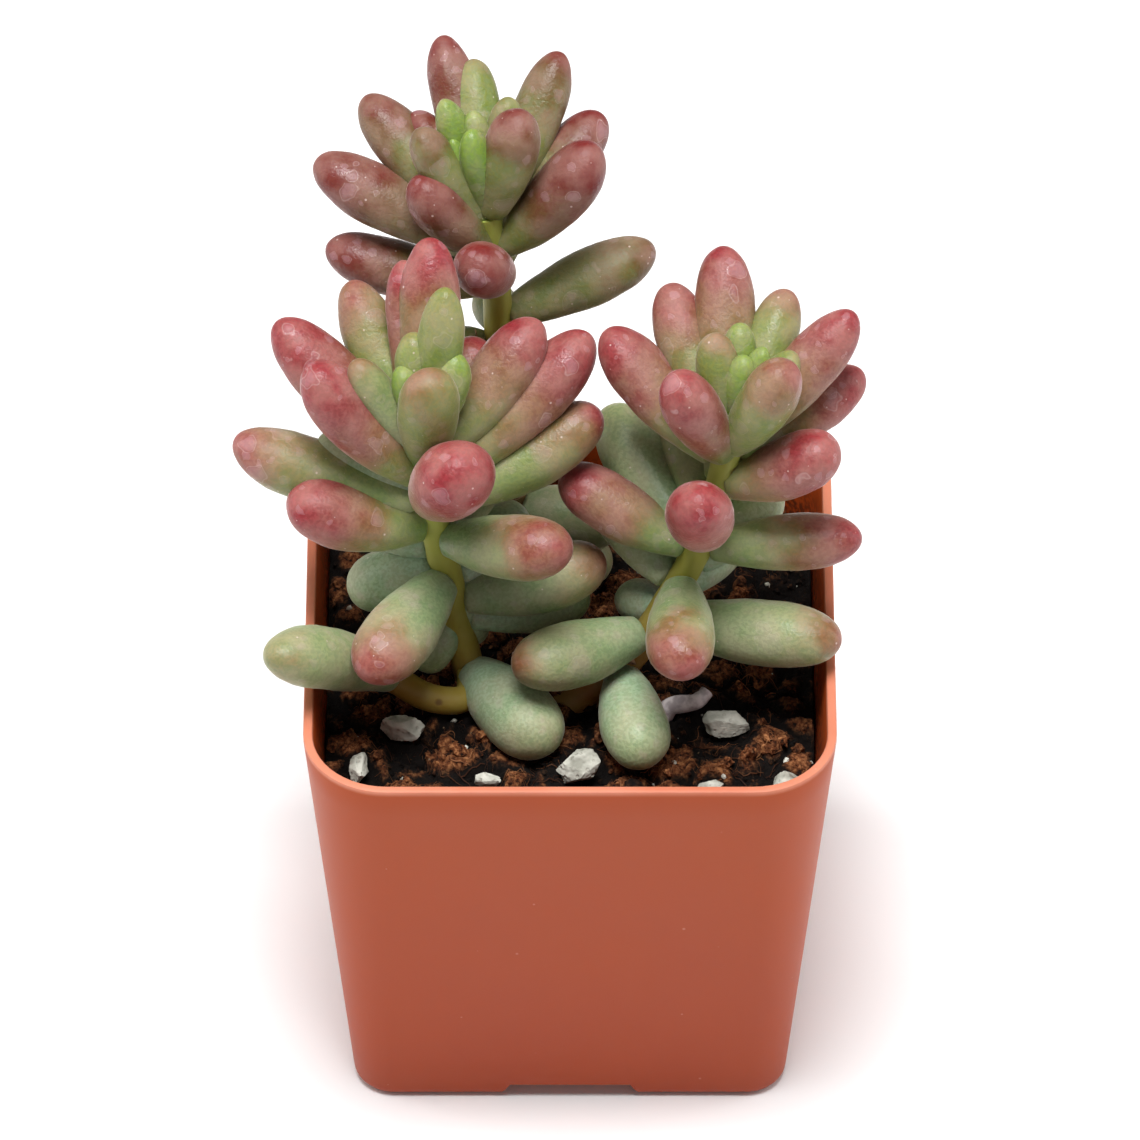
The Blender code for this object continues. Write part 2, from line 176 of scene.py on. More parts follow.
def keep_result(obj):
    """Make what the modifiers show the object's plain mesh."""
    graph = bpy.context.evaluated_depsgraph_get()
    mesh = bpy.data.meshes.new_from_object(obj.evaluated_get(graph))
    obj.modifiers.clear()
    obj.data = mesh
    mesh.name = obj.name
    print(obj.name, "has", len(mesh.polygons), "faces")


def grow(obj, tree, settings):
    """Run a Geometry Nodes tree on an object and keep the result."""
    modifier = obj.modifiers.new(tree.name, "NODES")
    modifier.node_group = tree
    for item in tree.interface.items_tree:
        if item.in_out == "INPUT" and item.name in settings:
            modifier[item.identifier] = settings[item.name]
    keep_result(obj)


# %% [markdown]
# ## Shared effects
# Wax, soil dust and tiny specks turn up on several finishes. Each effect is a node group with named
# inputs, built once. It puts out only masks, and the material that uses it decides on their colour.

# %% Specks: dots scattered over a surface


def specks_group():
    """Dots at a given spacing, each of its own size, on some share of the places."""
    tree, given, result = new_tree("ShaderNodeTree", "specks", {
        "Vector": ("Vector", None), "Spacing": ("Float", 0.001), "Size": ("Float", 0.2),
        "Share": ("Float", 0.5),
    }, {"Mask": "Float"})
    scale = 1.0 / given["Spacing"]
    cells = add_node(tree, "ShaderNodeTexVoronoi", {"Vector": given["Vector"], "Scale": scale})
    chance = add_node(tree, "ShaderNodeSeparateColor", {"Color": cells["Color"]})
    chosen = calc(tree, "LESS_THAN", chance[0], given["Share"])
    size = given["Size"] * (chance[1] + 0.4)
    dot = rise_between(tree, cells["Distance"], size * 0.5, size, 1.0, 0.0)
    feed(tree, result["Mask"], dot * chosen)
    return tree


def mottle_group():
    """A cloudy value between 0 and 1, at a given size, steeper or softer."""
    tree, given, result = new_tree("ShaderNodeTree", "mottle", {
        "Vector": ("Vector", None), "Size": ("Float", 0.01), "Detail": ("Float", 3.0),
        "Contrast": ("Float", 1.0),
    }, {"Mask": "Float"})
    around_middle = cloudy(tree, given["Vector"], 1.0 / given["Size"], given["Detail"]) - 0.5
    steep = calc(tree, "MULTIPLY_ADD", around_middle, given["Contrast"] * 2.0, 0.5, clamp=True)
    feed(tree, result["Mask"], steep)
    return tree


def water_marks_group():
    """Rings that dried drops leave: a thin bright outline round a paler patch."""
    tree, given, result = new_tree("ShaderNodeTree", "water_marks", {
        "Vector": ("Vector", None), "Spacing": ("Float", 0.004), "Share": ("Float", 0.5),
    }, {"Patch": "Float", "Outline": "Float"})
    scale = 1.0 / given["Spacing"]
    inputs = {"Vector": given["Vector"], "Scale": scale * 1.6, "Detail": 1.0}
    wobble = add_node(tree, "ShaderNodeTexNoise", inputs)["Color"]
    reach = given["Spacing"] * 0.6
    pushed = scaled(tree, calc_vector(tree, "SUBTRACT", wobble, (0.5, 0.5, 0.5)), reach)
    place = calc_vector(tree, "ADD", given["Vector"], pushed)
    cells = add_node(tree, "ShaderNodeTexVoronoi", {"Vector": place, "Scale": scale, "Randomness": 0.9})
    chance = add_node(tree, "ShaderNodeSeparateColor", {"Color": cells["Color"]})
    chosen = calc(tree, "LESS_THAN", chance[0], given["Share"])
    radius = chance[1] * 0.22 + 0.2
    inside = radius - cells["Distance"]
    patch = rise_between(tree, inside, -0.02, 0.1)
    rim = rise_between(tree, calc(tree, "ABSOLUTE", inside), 0.0, 0.03, 1.0, 0.0)
    feed(tree, result["Patch"], patch * chosen)
    feed(tree, result["Outline"], rim * chosen)
    return tree


SPECKS = specks_group()
MOTTLE = mottle_group()
WATER_MARKS = water_marks_group()
print("shared effects:", SPECKS.name, MOTTLE.name, WATER_MARKS.name)

# %% Helpers for materials


def srgb(red, green, blue):
    """A colour picked on screen, from 0 to 255 a channel, as the linear colour that shaders use."""
    shares = [value / 255 for value in (red, green, blue)]
    return (*[s / 12.92 if s <= 0.04045 else ((s + 0.055) / 1.055) ** 2.4 for s in shares], 1.0)


def mixed(tree, factor, first, second):
    """Two colours mixed: the first where the factor is 0, the second where it is 1."""
    return add_node(tree, "ShaderNodeMix", {0: factor, 6: first, 7: second}, data_type="RGBA")[2]


def effect(tree, group, place, **inputs):
    """The masks of a shared effect, with the inputs this finish gives it."""
    return add_node(tree, "ShaderNodeGroup", {"Vector": place, **inputs}, node_tree=group)


def mottled(tree, place, size, detail=3.0, contrast=1.0):
    return effect(tree, MOTTLE, place, Size=size, Detail=detail, Contrast=contrast)["Mask"]


def specks(tree, place, spacing, size, share):
    return effect(tree, SPECKS, place, Spacing=spacing, Size=size, Share=share)["Mask"]


def new_material(name, **constants):
    """A material with its Principled shader, the constants on the shader's own sockets."""
    made = bpy.data.materials.new(name)
    made.use_nodes = True
    shader = made.node_tree.nodes["Principled BSDF"]
    for socket, value in constants.items():
        shader.inputs[socket.replace("_", " ")].default_value = value
    return made, made.node_tree, shader.inputs


def feed_shader(tree, shader, **results):
    """Results for the shader's sockets, with _ for each space in a socket's name."""
    for socket, value in results.items():
        feed(tree, shader[socket.replace("_", " ")], value)


def position(tree):
    return add_node(tree, "ShaderNodeTexCoord")["Object"]


def attribute(tree, name):
    return add_node(tree, "ShaderNodeAttribute", attribute_name=name, attribute_type="GEOMETRY")["Fac"]


def bump(tree, height, distance, strength=1.0):
    inputs = {"Height": height, "Distance": distance, "Strength": strength}
    return add_node(tree, "ShaderNodeBump", inputs)["Normal"]


# %% [markdown]
# ## Leaf skin
# A jelly bean leaf is green flesh under a powdery wax. Sun turns it from the tip down: first olive, then
# a dusty rose, then red at the very tip. Water drops leave pale rings in the wax, and fine specks show
# everywhere. A flat colour for each leaf would look like plastic, so every leaf carries numbers of its
# own, such as how red it is, and this one material reads them.

# %% Leaf skin material


def leaf_flesh(tree, along):
    """Green of the flesh: bright in the crown, pale and bluish on shaded low leaves."""
    grown = mixed(tree, along, srgb(122, 148, 74), srgb(138, 138, 76))
    shaded = mixed(tree, along, srgb(158, 188, 160), srgb(166, 184, 138))
    crown = mixed(tree, along, srgb(78, 120, 28), srgb(132, 156, 66))
    flesh = mixed(tree, attribute(tree, "shade"), grown, shaded)
    flesh = mixed(tree, attribute(tree, "brown") * 0.6, flesh, srgb(104, 88, 38))
    return mixed(tree, attribute(tree, "youth"), flesh, crown)


def sun_red(tree, place, along):
    """How far the red has come at each point, from 0 to 1, and the cap at the very tip."""
    cloud = mottled(tree, place, 0.0055)
    blush = attribute(tree, "blush")
    lifted = (cloud - 0.5) * 0.36 + along
    start = blush * -0.9 + 0.8
    reach = blush * -0.1 + 0.95
    red = rise_between(tree, lifted, start, start + reach)
    cap_start = blush * -0.45 + 1.0
    cap = rise_between(tree, lifted, cap_start, cap_start + 0.42)
    strength = rise_between(tree, blush, 0.0, 0.7, 0.15)
    return red * rise_between(tree, blush, 0.0, 0.25), cap * strength


def blushed(tree, flesh, red, cap):
    """Green flesh turned olive, then rose, then red at the tip; browner on the older plant."""
    brown, shade = attribute(tree, "brown"), attribute(tree, "shade")
    olive = mixed(tree, brown, srgb(144, 112, 72), srgb(98, 74, 38))
    rose = mixed(tree, brown, srgb(154, 84, 80), srgb(104, 54, 40))
    tip = mixed(tree, brown, srgb(160, 40, 54), srgb(112, 32, 30))
    tip = mixed(tree, rise_between(tree, shade, 0.3, 0.9), tip, srgb(200, 84, 50))
    colour = mixed(tree, rise_between(tree, red, 0.0, 0.4), flesh, olive)
    colour = mixed(tree, rise_between(tree, red, 0.3, 0.95), colour, rose)
    return mixed(tree, cap * 0.8, colour, tip)


def bloom(tree, place, colour, red):
    """Powdery wax over the flesh: cloudy, with large and small water marks where the leaf is red."""
    wax = mottled(tree, place, 0.0034, detail=4.0, contrast=2.0)
    colour = mixed(tree, wax * 0.2, colour, srgb(214, 180, 164))
    marked = rise_between(tree, red, 0.0, 0.6, 0.6)
    outlines = 0.0
    for spacing, share in ((0.0036, 0.36), (0.0016, 0.36)):
        marks = effect(tree, WATER_MARKS, place, Spacing=spacing, Share=share)
        patch = marks["Patch"] * (marked * 0.17)
        colour = mixed(tree, patch, colour, srgb(214, 176, 186))
        edge = marks["Outline"] * (marked * 0.18)
        colour = mixed(tree, edge, colour, srgb(232, 208, 206))
        outlines = calc(tree, "MAXIMUM", marks["Outline"], outlines)
    return colour, wax, outlines


def leaf_material():
    made, tree, shader = new_material(
        "leaf_skin", Subsurface_Weight=0.16, Subsurface_Scale=0.001, Specular_IOR_Level=0.5,
        Sheen_Weight=0.3, Sheen_Roughness=0.22, IOR=1.42,
    )
    shader["Subsurface Radius"].default_value = (1.0, 0.5, 0.25)
    shader["Sheen Tint"].default_value = srgb(255, 240, 232)
    place, along = position(tree), attribute(tree, "along")
    red, cap = sun_red(tree, place, along)
    colour = blushed(tree, leaf_flesh(tree, along), red, cap)
    grains = mottled(tree, place, 0.00042, detail=2.0, contrast=3.0)
    darker = mixed(tree, rise_between(tree, red, 0.1, 0.7), srgb(98, 122, 80), srgb(104, 20, 26))
    colour = mixed(tree, grains * 0.34, colour, darker)
    colour, wax, outlines = bloom(tree, place, colour, red)
    dots = specks(tree, place, 0.0011, 0.12, 0.26)
    colour = mixed(tree, dots * 0.45, colour, srgb(242, 222, 214))
    dry = wax * 0.2 + 0.36
    normal = bump(tree, grains, -0.00003, 0.6)
    feed_shader(tree, shader, Base_Color=colour, Roughness=outlines * -0.14 + dry, Normal=normal)
    return made


LEAF_SKIN = leaf_material()
print("material:", LEAF_SKIN.name)

# %% [markdown]
# ## Stem skin
# The stems are smooth and olive green near the crown, and turn amber and corky near the soil, with small
# scars where old leaves fell. Each point of the stem carries its age, from 0 at the crown to 1 or more at
# the foot: the oldest stem has the barest and brownest foot.

# %% Stem skin material


def stem_material():
    made, tree, shader = new_material("stem_skin", Subsurface_Weight=0.15, Subsurface_Scale=0.001, IOR=1.4)
    shader["Subsurface Radius"].default_value = (1.0, 0.6, 0.3)
    place = position(tree)
    age = attribute(tree, "age")
    colour = mixed(tree, rise_between(tree, age, 0.0, 0.6), srgb(168, 180, 84), srgb(162, 158, 66))
    colour = mixed(tree, rise_between(tree, age, 0.55, 1.0), colour, srgb(142, 88, 30))
    cloud = mottled(tree, place, 0.003, contrast=1.4)
    colour = mixed(tree, rise_between(tree, age, 1.0, 1.9), colour, srgb(84, 58, 38))
    colour = mixed(tree, cloud * 0.3, colour, srgb(170, 160, 96))
    scars = specks(tree, place, 0.0026, 0.26, 0.3)
    colour = mixed(tree, scars * 0.7, colour, srgb(92, 60, 34))
    normal = bump(tree, cloud - scars, 0.0001, 0.6)
    feed_shader(tree, shader, Base_Color=colour, Roughness=cloud * 0.15 + 0.4, Normal=normal)
    return made


STEM_SKIN = stem_material()
print("material:", STEM_SKIN.name)

# %% [markdown]
# ## Leafy stems: where everything grows
# Each stem is a smooth line through a few points, and each leaf a row of numbers: where its root is on
# the stem, where it points, how it curls and how big it is. They are the same numbers as in the solids,
# so the fine leaves cover the plain ones. Two more numbers say how red a leaf is, and how green: 1 is the
# bright green of a young leaf, and -1 the pale bluish green of an old one in the shade.

# %% The stems' lines
SOIL_LEVEL = 45.5
STEM_RADIUS = 1.9
STEM_TOP_RADIUS = 1.6
STEM_STEPS = 14
STEM_POINTS = {
    "left": [(-10.0, -0.6, -12), (-11.2, -1.0, -2), (-13.6, -1.5, 14), (-15.8, -2.0, 29), (-15.8, -1.8, 37)],
    "right": [(-12.0, -9.0, -12), (-3.6, -6.2, -3.2), (6.5, -3.8, 4.5), (14.6, -2.8, 22), (18.2, -1.9, 38.5)],
    "back": [(-4.5, 12.5, -12), (-5.5, 13.5, -2), (-7.6, 17.0, 24), (-8.4, 18.4, 44), (-9.3, 18.8, 52.5)],
}
LEAF_FULLEST = 0.6
LEAF_NECK = 0.5
LEAF_START = 1.1
BROWNNESS = {"left": 0.15, "right": 0.2, "back": 0.85}
FOOT_AGE = {"left": 1.15, "right": 1.4, "back": 2.6}


def smooth_path(points, steps):
    """Points of a Catmull-Rom curve through these points."""
    known = [Vector(point) for point in points]
    ends = [2 * known[0] - known[1], *known, 2 * known[-1] - known[-2]]
    path = []
    for before, start, end, after in zip(ends, ends[1:], ends[2:], ends[3:]):
        for step in range(steps):
            t = step / steps
            bend = 2 * before - 5 * start + 4 * end - after
            twist = 3 * start - before - 3 * end + after
            path.append(0.5 * (2 * start + (end - before) * t + bend * t**2 + twist * t**3))
    path.append(known[-1])
    return path


def path_over_soil(points, steps):
    return smooth_path([(x, y, height + SOIL_LEVEL) for x, y, height in points], steps)


def stem_path(plant):
    return path_over_soil(STEM_POINTS[plant], STEM_STEPS)


def point_on_stem(path, height):
    heights = [point.z for point in path]
    return Vector([float(np.interp(height, heights, [point[axis] for point in path])) for axis in range(3)])


# %% The leaves' rows
# height of the root over the soil, azimuth, rise, curl, length, width, redness, greenness
LEAVES = {
    "left": [
        (35.5, 89, 56, 6, 24.0, 7.0, 0.64, 0), (34.5, 102, 53, 10, 22.3, 5.4, 0.75, -0.1),
        (34.5, 119, 34, 12, 21.8, 6.8, 0.36, 0), (36, 72, 70, 6, 19.5, 5.4, 0.16, 0.3),
        (34, 150, 32, 20, 23.0, 7.6, 0.8, 0), (31, 172, 50, 20, 20.5, 7.8, 0.9, 0),
        (34.5, 165, 56, 10, 15.1, 4.8, 0.25, -0.3), (36.5, 110, 66, 8, 13.3, 4.8, 0.12, 0.7),
        (36, 145, 69, -8, 10.8, 4.2, 0.03, 0.9), (36.8, 80, 63, 0, 9.6, 2.8, 0, 1),
        (36.5, 39, 69, 5, 12.0, 5.0, 0.05, 0.8), (33, -70, 84, -12, 15.5, 7.2, 0.24, 0.1),
        (34, 41, 35, 20, 20.0, 7.2, 0.74, 0), (31, 31, 30, 26, 24.6, 7.8, 0.82, 0),
        (28, 20, 20, 35, 21.5, 7.8, 0.42, -0.1), (28, -66, 55, 10, 17.0, 9.4, 0.95, 0),
        (28, 169, 13, 22, 23.0, 7.8, 0.4, -0.1), (24, -168, 24, 30, 18.0, 8.2, 0.76, 0),
        (29, 158, 16, 20, 14.0, 5.6, 0.05, -0.8), (22, -30, 20, 12, 18.0, 8.0, 0.5, -0.3),
        (12, 6, 15, 24, 18.0, 8.0, 0.34, -0.5), (18, 165, -32, 12, 13.0, 7.6, 0.05, -1),
        (16, -119, 0, 10, 18.5, 8.4, 0.45, -0.5), (0.9, -58, 5, -6, 17.5, 8.8, 0.14, -1),
        (20, 142, 0, 15, 10.5, 6.4, 0, -1), (15, 50, 10, 15, 13.0, 6.6, 0, -1),
        (15.5, 49, -71, 0, 13.8, 5.6, 0, -1), (26, 100, 14, 20, 17.0, 7.4, 0.2, -0.2),
        (21, 70, 8, 20, 16.0, 7.4, 0.1, -0.4), (9, 13, 0, 8, 15.5, 6.6, 0.05, -1),
        (33, 66, 30, 20, 16.0, 7.0, 0.5, 0), (31, 112, 26, 20, 17.0, 7.0, 0.4, 0),
        (9, -165, -55, 0, 8.2, 5.6, 0.05, -0.7),
    ],
    "right": [
        (36.5, 92, 39, 8, 22.5, 7.0, 0.64, 0), (36, 114, 33, 10, 20.0, 6.8, 0.6, -0.1),
        (37, 64, 35, 8, 18.5, 6.0, 0.3, 0.25), (36, 28, 41, 14, 21.0, 6.6, 0.78, 0),
        (35, 30, 14, 20, 18.3, 6.4, 0.88, 0), (34, 143, 33, 18, 20.0, 7.2, 0.84, 0),
        (37, 114, 70, 5, 13.3, 5.4, 0.2, 0.2), (38, 81, 63, 5, 13.1, 4.2, 0.08, 0.75),
        (38.3, 55, 77, -5, 10.2, 3.8, 0.02, 1), (38.2, 37, 67, 0, 11.5, 3.4, 0, 1),
        (37.5, 25, 52, 5, 12.6, 4.4, 0.15, 0.6), (36, -12, 65, 12, 15.4, 7.0, 0.42, 0.1),
        (35, -160, 66, 12, 15.0, 7.2, 0.95, 0), (30.5, -10, 32, 20, 15.5, 7.6, 0.95, 0),
        (21, 159, 22, 18, 17.5, 7.2, 0.8, -0.1), (23, -94, 58, 8, 17.0, 7.8, 1, 0),
        (21.5, -2, 6, 4, 18.5, 6.8, 0.66, -0.2), (22, 123, 18, 20, 20.0, 8.0, 0.12, -0.6),
        (16.5, -91, 9, 10, 17.5, 7.8, 0.5, -0.4), (10.5, -19, 9, 3, 22.0, 8.0, 0.25, -0.5),
        (9, -152, 6, 12, 17.5, 8.0, 0.2, -0.5), (3.4, -80, 0, -4, 15.5, 7.8, 0.03, -1),
        (18, 35, 28, 12, 14.2, 7.0, 0, -0.9), (15, 62, -6, 10, 13.0, 7.0, 0, -0.9),
        (15.5, 128, 22, 12, 15.0, 6.8, 0.1, -0.6), (12, 120, -30, 5, 9.5, 5.5, 0, -1),
        (30, 78, 20, 20, 17.0, 7.2, 0.5, 0), (26, 100, 12, 20, 17.0, 7.4, 0.3, -0.2),
        (33, 72, 32, 20, 14.0, 6.6, 0.5, 0), (20, 85, 2, 18, 15.0, 7.2, 0.1, -0.6),
    ],
    "back": [
        (51, 108, 38, 8, 22.0, 5.8, 0.8, 0), (52, 97, 39, 6, 18.0, 5.4, 0.18, 0.45),
        (51, 61, 38, 22, 21.0, 6.0, 0.5, 0), (49.5, 41, 27, 22, 18.6, 6.6, 0.7, -0.1),
        (47, 10, 51, 30, 18.2, 7.4, 0.85, 0), (52, 27, 73, 10, 14.6, 6.8, 0.5, 0.1),
        (52, 140, 78, -5, 11.8, 4.0, 0, 1), (51.5, 134, 62, 5, 15.3, 4.2, 0.05, 0.85),
        (52.4, 109, 67, 0, 12.4, 3.6, 0, 1), (52, 151, 65, 0, 10.9, 2.8, 0, 1),
        (51.5, 66, 66, 6, 14.8, 4.4, 0.15, 0.55), (50.5, 168, 58, 12, 15.4, 5.6, 0.32, 0.3),
        (49.5, 139, 27, 15, 21.1, 6.8, 0.5, 0.1), (50, 129, 31, 10, 16.1, 5.4, 0.6, 0),
        (48, 163, 19, 20, 22.0, 7.4, 0.75, 0), (47, -169, 54, 15, 14.9, 6.8, 0.78, 0),
        (42, 172, 10, 20, 19.7, 6.8, 0.72, 0), (43, -104, 50, 8, 12.5, 7.0, 1, 0),
        (37, 17, 18, 0, 19.5, 7.0, 0.38, -0.1), (44, 82, 26, 20, 17.0, 7.0, 0.5, 0),
        (48, 66, 34, 18, 15.0, 6.6, 0.5, 0), (40, 112, 18, 20, 17.0, 7.2, 0.5, 0),
        (34, 178, -10, 8, 6.5, 4.6, 0.2, -0.2), (35, 95, -4, 8, 8.0, 5.2, 0.2, -0.2),
        (20, 84, -4, 14, 14.0, 7.2, 0.1, -0.5), (22, 130, 0, 18, 16.0, 7.4, 0.1, -0.5),
        (11, -10, -6, 12, 13.0, 7.6, 0.05, -0.7), (3.5, -20, 14, 10, 11.5, 6.8, 0.05, -0.8),
        (17, 45, -6, 14, 13.0, 7.0, 0.05, -0.6), (9, 110, 6, 12, 12.0, 7.2, 0.05, -0.8),
        (27, 172, 4, 16, 11.0, 6.4, 0.1, -0.4),
    ],
}
CREEPER_POINTS = [(-11.4, -1.6, 1.0), (-11.8, -6.2, 0.9), (-15.6, -7.2, 1.6), (-20.0, -5.6, 3.3)]
CREEPER_RADII = (1.5, 1.7)
CREEPER_LEAF = (-138, 40, -22, 24.0, 7.8, 0.14, -0.5)
print("leaves:", {plant: len(rows) for plant, rows in LEAVES.items()})

# %% [markdown]
# ## A tree that grows leaves
# Placing a hundred leaves by hand, or copying one and bending each copy, would be slow and stiff. The
# tree below gets one point for each leaf, with the row's numbers stored on it, puts a ball on each point,
# and draws every ball out along its own arc. The half width along a leaf is the product of a swelling
# neck, a round start and a blunt tip. It ends with the stem joined in and the materials set.

# %% Leaf tree: the half width of a leaf


def leaf_half_width(tree, along, given):
    """Half the width as a share of the fullest, from 0 at the root to 0 at the tip."""
    quarter = calc(tree, "DIVIDE", along, given["Fullest at"], clamp=True) * (math.pi / 2)
    swell = calc(tree, "SINE", quarter) * (1.0 - given["Neck"])
    neck = swell + given["Neck"]
    start = calc(tree, "MINIMUM", 1.0, calc(tree, "SQRT", along / 0.03))
    past = along - given["Fullest at"]
    beyond = calc(tree, "DIVIDE", past, 1.0 - given["Fullest at"], clamp=True)
    tip = calc(tree, "SQRT", calc(tree, "SUBTRACT", 1.0, beyond ** 2.4, clamp=True))
    return neck * start * tip


def stored(tree, name, data_type="FLOAT"):
    return add_node(tree, "GeometryNodeInputNamedAttribute", {"Name": name}, data_type=data_type)[0]


def store(tree, geometry, name, value, domain="POINT"):
    inputs = {"Geometry": geometry, "Name": name, "Value": value}
    return add_node(tree, "GeometryNodeStoreNamedAttribute", inputs, data_type="FLOAT", domain=domain)[0]


def realized(tree, geometry):
    return add_node(tree, "GeometryNodeRealizeInstances", {"Geometry": geometry})[0]


def finished(tree, geometry, finish):
    """How each tree ends: copies made real, and a material on them."""
    inputs = {"Geometry": realized(tree, geometry), "Material": finish}
    return add_node(tree, "GeometryNodeSetMaterial", inputs)[0]


def moved(tree, geometry, **how):
    """Every point at a new position, or pushed by an offset."""
    return add_node(tree, "GeometryNodeSetPosition", {"Geometry": geometry, **how})[0]


# %% Leaf tree: each point's place on its leaf's arc


def leaf_place(tree, given):
    """Where a point of a ball goes: along the arc, out to the side, and up or down by the thickness."""
    along = stored(tree, "along")
    length, rise, curl = stored(tree, "length"), stored(tree, "rise"), stored(tree, "curl")
    ring = leaf_half_width(tree, along, given) * (stored(tree, "width") * 0.5)
    tilt = curl * (along - 0.5) + rise
    hollow = along * (1.0 - along) * length
    sag = hollow * (curl * 0.5)
    start = calc(tree, "COSINE", rise) * (LEAF_START * MM)
    forward = along * (length - start) + start
    thick = ring * given["Flatness"] * stored(tree, "upper")
    sine, cosine = calc(tree, "SINE", rise), calc(tree, "COSINE", rise)
    chord = vector_of(tree, cosine, 0.0, sine)
    dip = vector_of(tree, sine, 0.0, cosine * -1.0)
    up = vector_of(tree, calc(tree, "SINE", tilt) * -1.0, 0.0, calc(tree, "COSINE", tilt))
    side = vector_of(tree, 0.0, ring * stored(tree, "sideways"), 0.0)
    middle = calc_vector(tree, "ADD", scaled(tree, chord, forward), scaled(tree, dip, sag))
    local = calc_vector(tree, "ADD", middle, calc_vector(tree, "ADD", side, scaled(tree, up, thick)))
    inputs = {"Vector": local, "Angle": stored(tree, "azimuth")}
    turned = add_node(tree, "ShaderNodeVectorRotate", inputs, rotation_type="Z_AXIS")[0]
    return calc_vector(tree, "ADD", stored(tree, "root", "FLOAT_VECTOR"), turned)


def dents(tree, depth):
    """A gentle unevenness, along the surface's own normal."""
    cloud = add_node(tree, "ShaderNodeTexNoise", {"Scale": 190.0, "Detail": 2.0})["Fac"]
    normal = add_node(tree, "GeometryNodeInputNormal")[0]
    return scaled(tree, normal, (cloud - 0.5) * depth)


# %% Leaf tree: put it together
LEAFY_INPUTS = {
    "Geometry": ("Geometry", None), "Stem line": ("Object", None), "Sides": ("Int", 30), "Rings": ("Int", 40),
    "Fullest at": ("Float", LEAF_FULLEST), "Neck": ("Float", LEAF_NECK), "Flatness": ("Float", 0.9),
    "Dents": ("Float", 0.0005),
    "Leaf material": ("Material", None), "Stem material": ("Material", None),
}


def grown_leaves(tree, given):
    ball = add_node(tree, "GeometryNodeMeshUVSphere", {"Segments": given["Sides"], "Rings": given["Rings"]})
    spot = add_node(tree, "GeometryNodeInputPosition")[0]
    flat = calc_vector(tree, "NORMALIZE", calc_vector(tree, "MULTIPLY", spot, (1.0, 1.0, 0.0)))
    around = parts_of(tree, flat)
    marked = store(tree, ball["Mesh"], "along", parts_of(tree, spot)["Z"] * 0.5 + 0.5)
    marked = store(tree, marked, "sideways", around["X"])
    marked = store(tree, marked, "upper", around["Y"])
    inputs = {"Points": given["Geometry"], "Instance": marked}
    balls = realized(tree, add_node(tree, "GeometryNodeInstanceOnPoints", inputs)[0])
    shaped = moved(tree, balls, Position=leaf_place(tree, given))
    return moved(tree, shaped, Offset=dents(tree, given["Dents"]))


def grown_stem(tree, given):
    line = add_node(tree, "GeometryNodeObjectInfo", {"Object": given["Stem line"]})["Geometry"]
    curve = add_node(tree, "GeometryNodeMeshToCurve", {"Mesh": line})[0]
    circle = add_node(tree, "GeometryNodeCurvePrimitiveCircle", {"Resolution": 20, "Radius": 1.0})[0]
    inputs = {"Curve": curve, "Profile Curve": circle, "Scale": stored(tree, "thickness"), "Fill Caps": True}
    tube = add_node(tree, "GeometryNodeCurveToMesh", inputs)[0]
    return moved(tree, tube, Offset=dents(tree, 0.0006))


def leafy_stem_tree():
    tree, given, result = new_geometry_tree("leafy_stem", LEAFY_INPUTS)
    parts = [grown_leaves(tree, given), grown_stem(tree, given)]
    joined = add_node(tree, "GeometryNodeJoinGeometry", {"Geometry": parts})[0]
    smooth = add_node(tree, "GeometryNodeSetShadeSmooth", {"Geometry": joined})[0]
    all_stem = finished(tree, smooth, given["Stem material"])
    on_leaf = calc(tree, "GREATER_THAN", stored(tree, "length"), 0.0)
    inputs = {"Geometry": all_stem, "Selection": on_leaf, "Material": given["Leaf material"]}
    feed(tree, result["Geometry"], add_node(tree, "GeometryNodeSetMaterial", inputs)[0])
    return tree


LEAFY_STEM = leafy_stem_tree()
print("tree:", LEAFY_STEM.name, "with", len(LEAFY_STEM.nodes), "nodes")

# %% Points and lines for the tree


def points_mesh(name, places, facts, edges=()):
    """Points in metres, each with its own named numbers."""
    mesh = bpy.data.meshes.new(name)
    mesh.from_pydata([place * MM for place in places], edges, [])
    root = mesh.attributes.new("root", "FLOAT_VECTOR", "POINT")
    root.data.foreach_set("vector", [value * MM for place in places for value in place])
    for title, values in facts.items():
        mesh.attributes.new(title, "FLOAT", "POINT").data.foreach_set("value", values)
    return mesh


def stem_strand(path, low_radius, high_radius, old, young):
    """Radius and age at each point of one stem."""
    low, high = path[0].z, path[-1].z
    shares = [(point.z - low) / (high - low) for point in path]
    thickness = [(low_radius + (high_radius - low_radius) * share) * MM for share in shares]
    return thickness, [old + (young - old) * share for share in shares]


def stem_line(plant):
    path = stem_path(plant)
    thickness, age = stem_strand(path, STEM_RADIUS, STEM_TOP_RADIUS, FOOT_AGE[plant], 0.0)
    edges = [(number, number + 1) for number in range(len(path) - 1)]
    if plant == "left":
        shoot = path_over_soil(CREEPER_POINTS, STEM_STEPS)
        first = len(path)
        edges += [(first + number, first + number + 1) for number in range(len(shoot) - 1)]
        path = path + shoot
        thickness += [value * MM for value in np.linspace(*CREEPER_RADII, len(shoot))]
        age += list(np.linspace(0.7, 0.85, len(shoot)))
    mesh = points_mesh("stem_line", path, {"thickness": thickness, "age": age}, edges)
    return add_object(f"stem_line_{plant}", mesh)


# %% The leaves' points


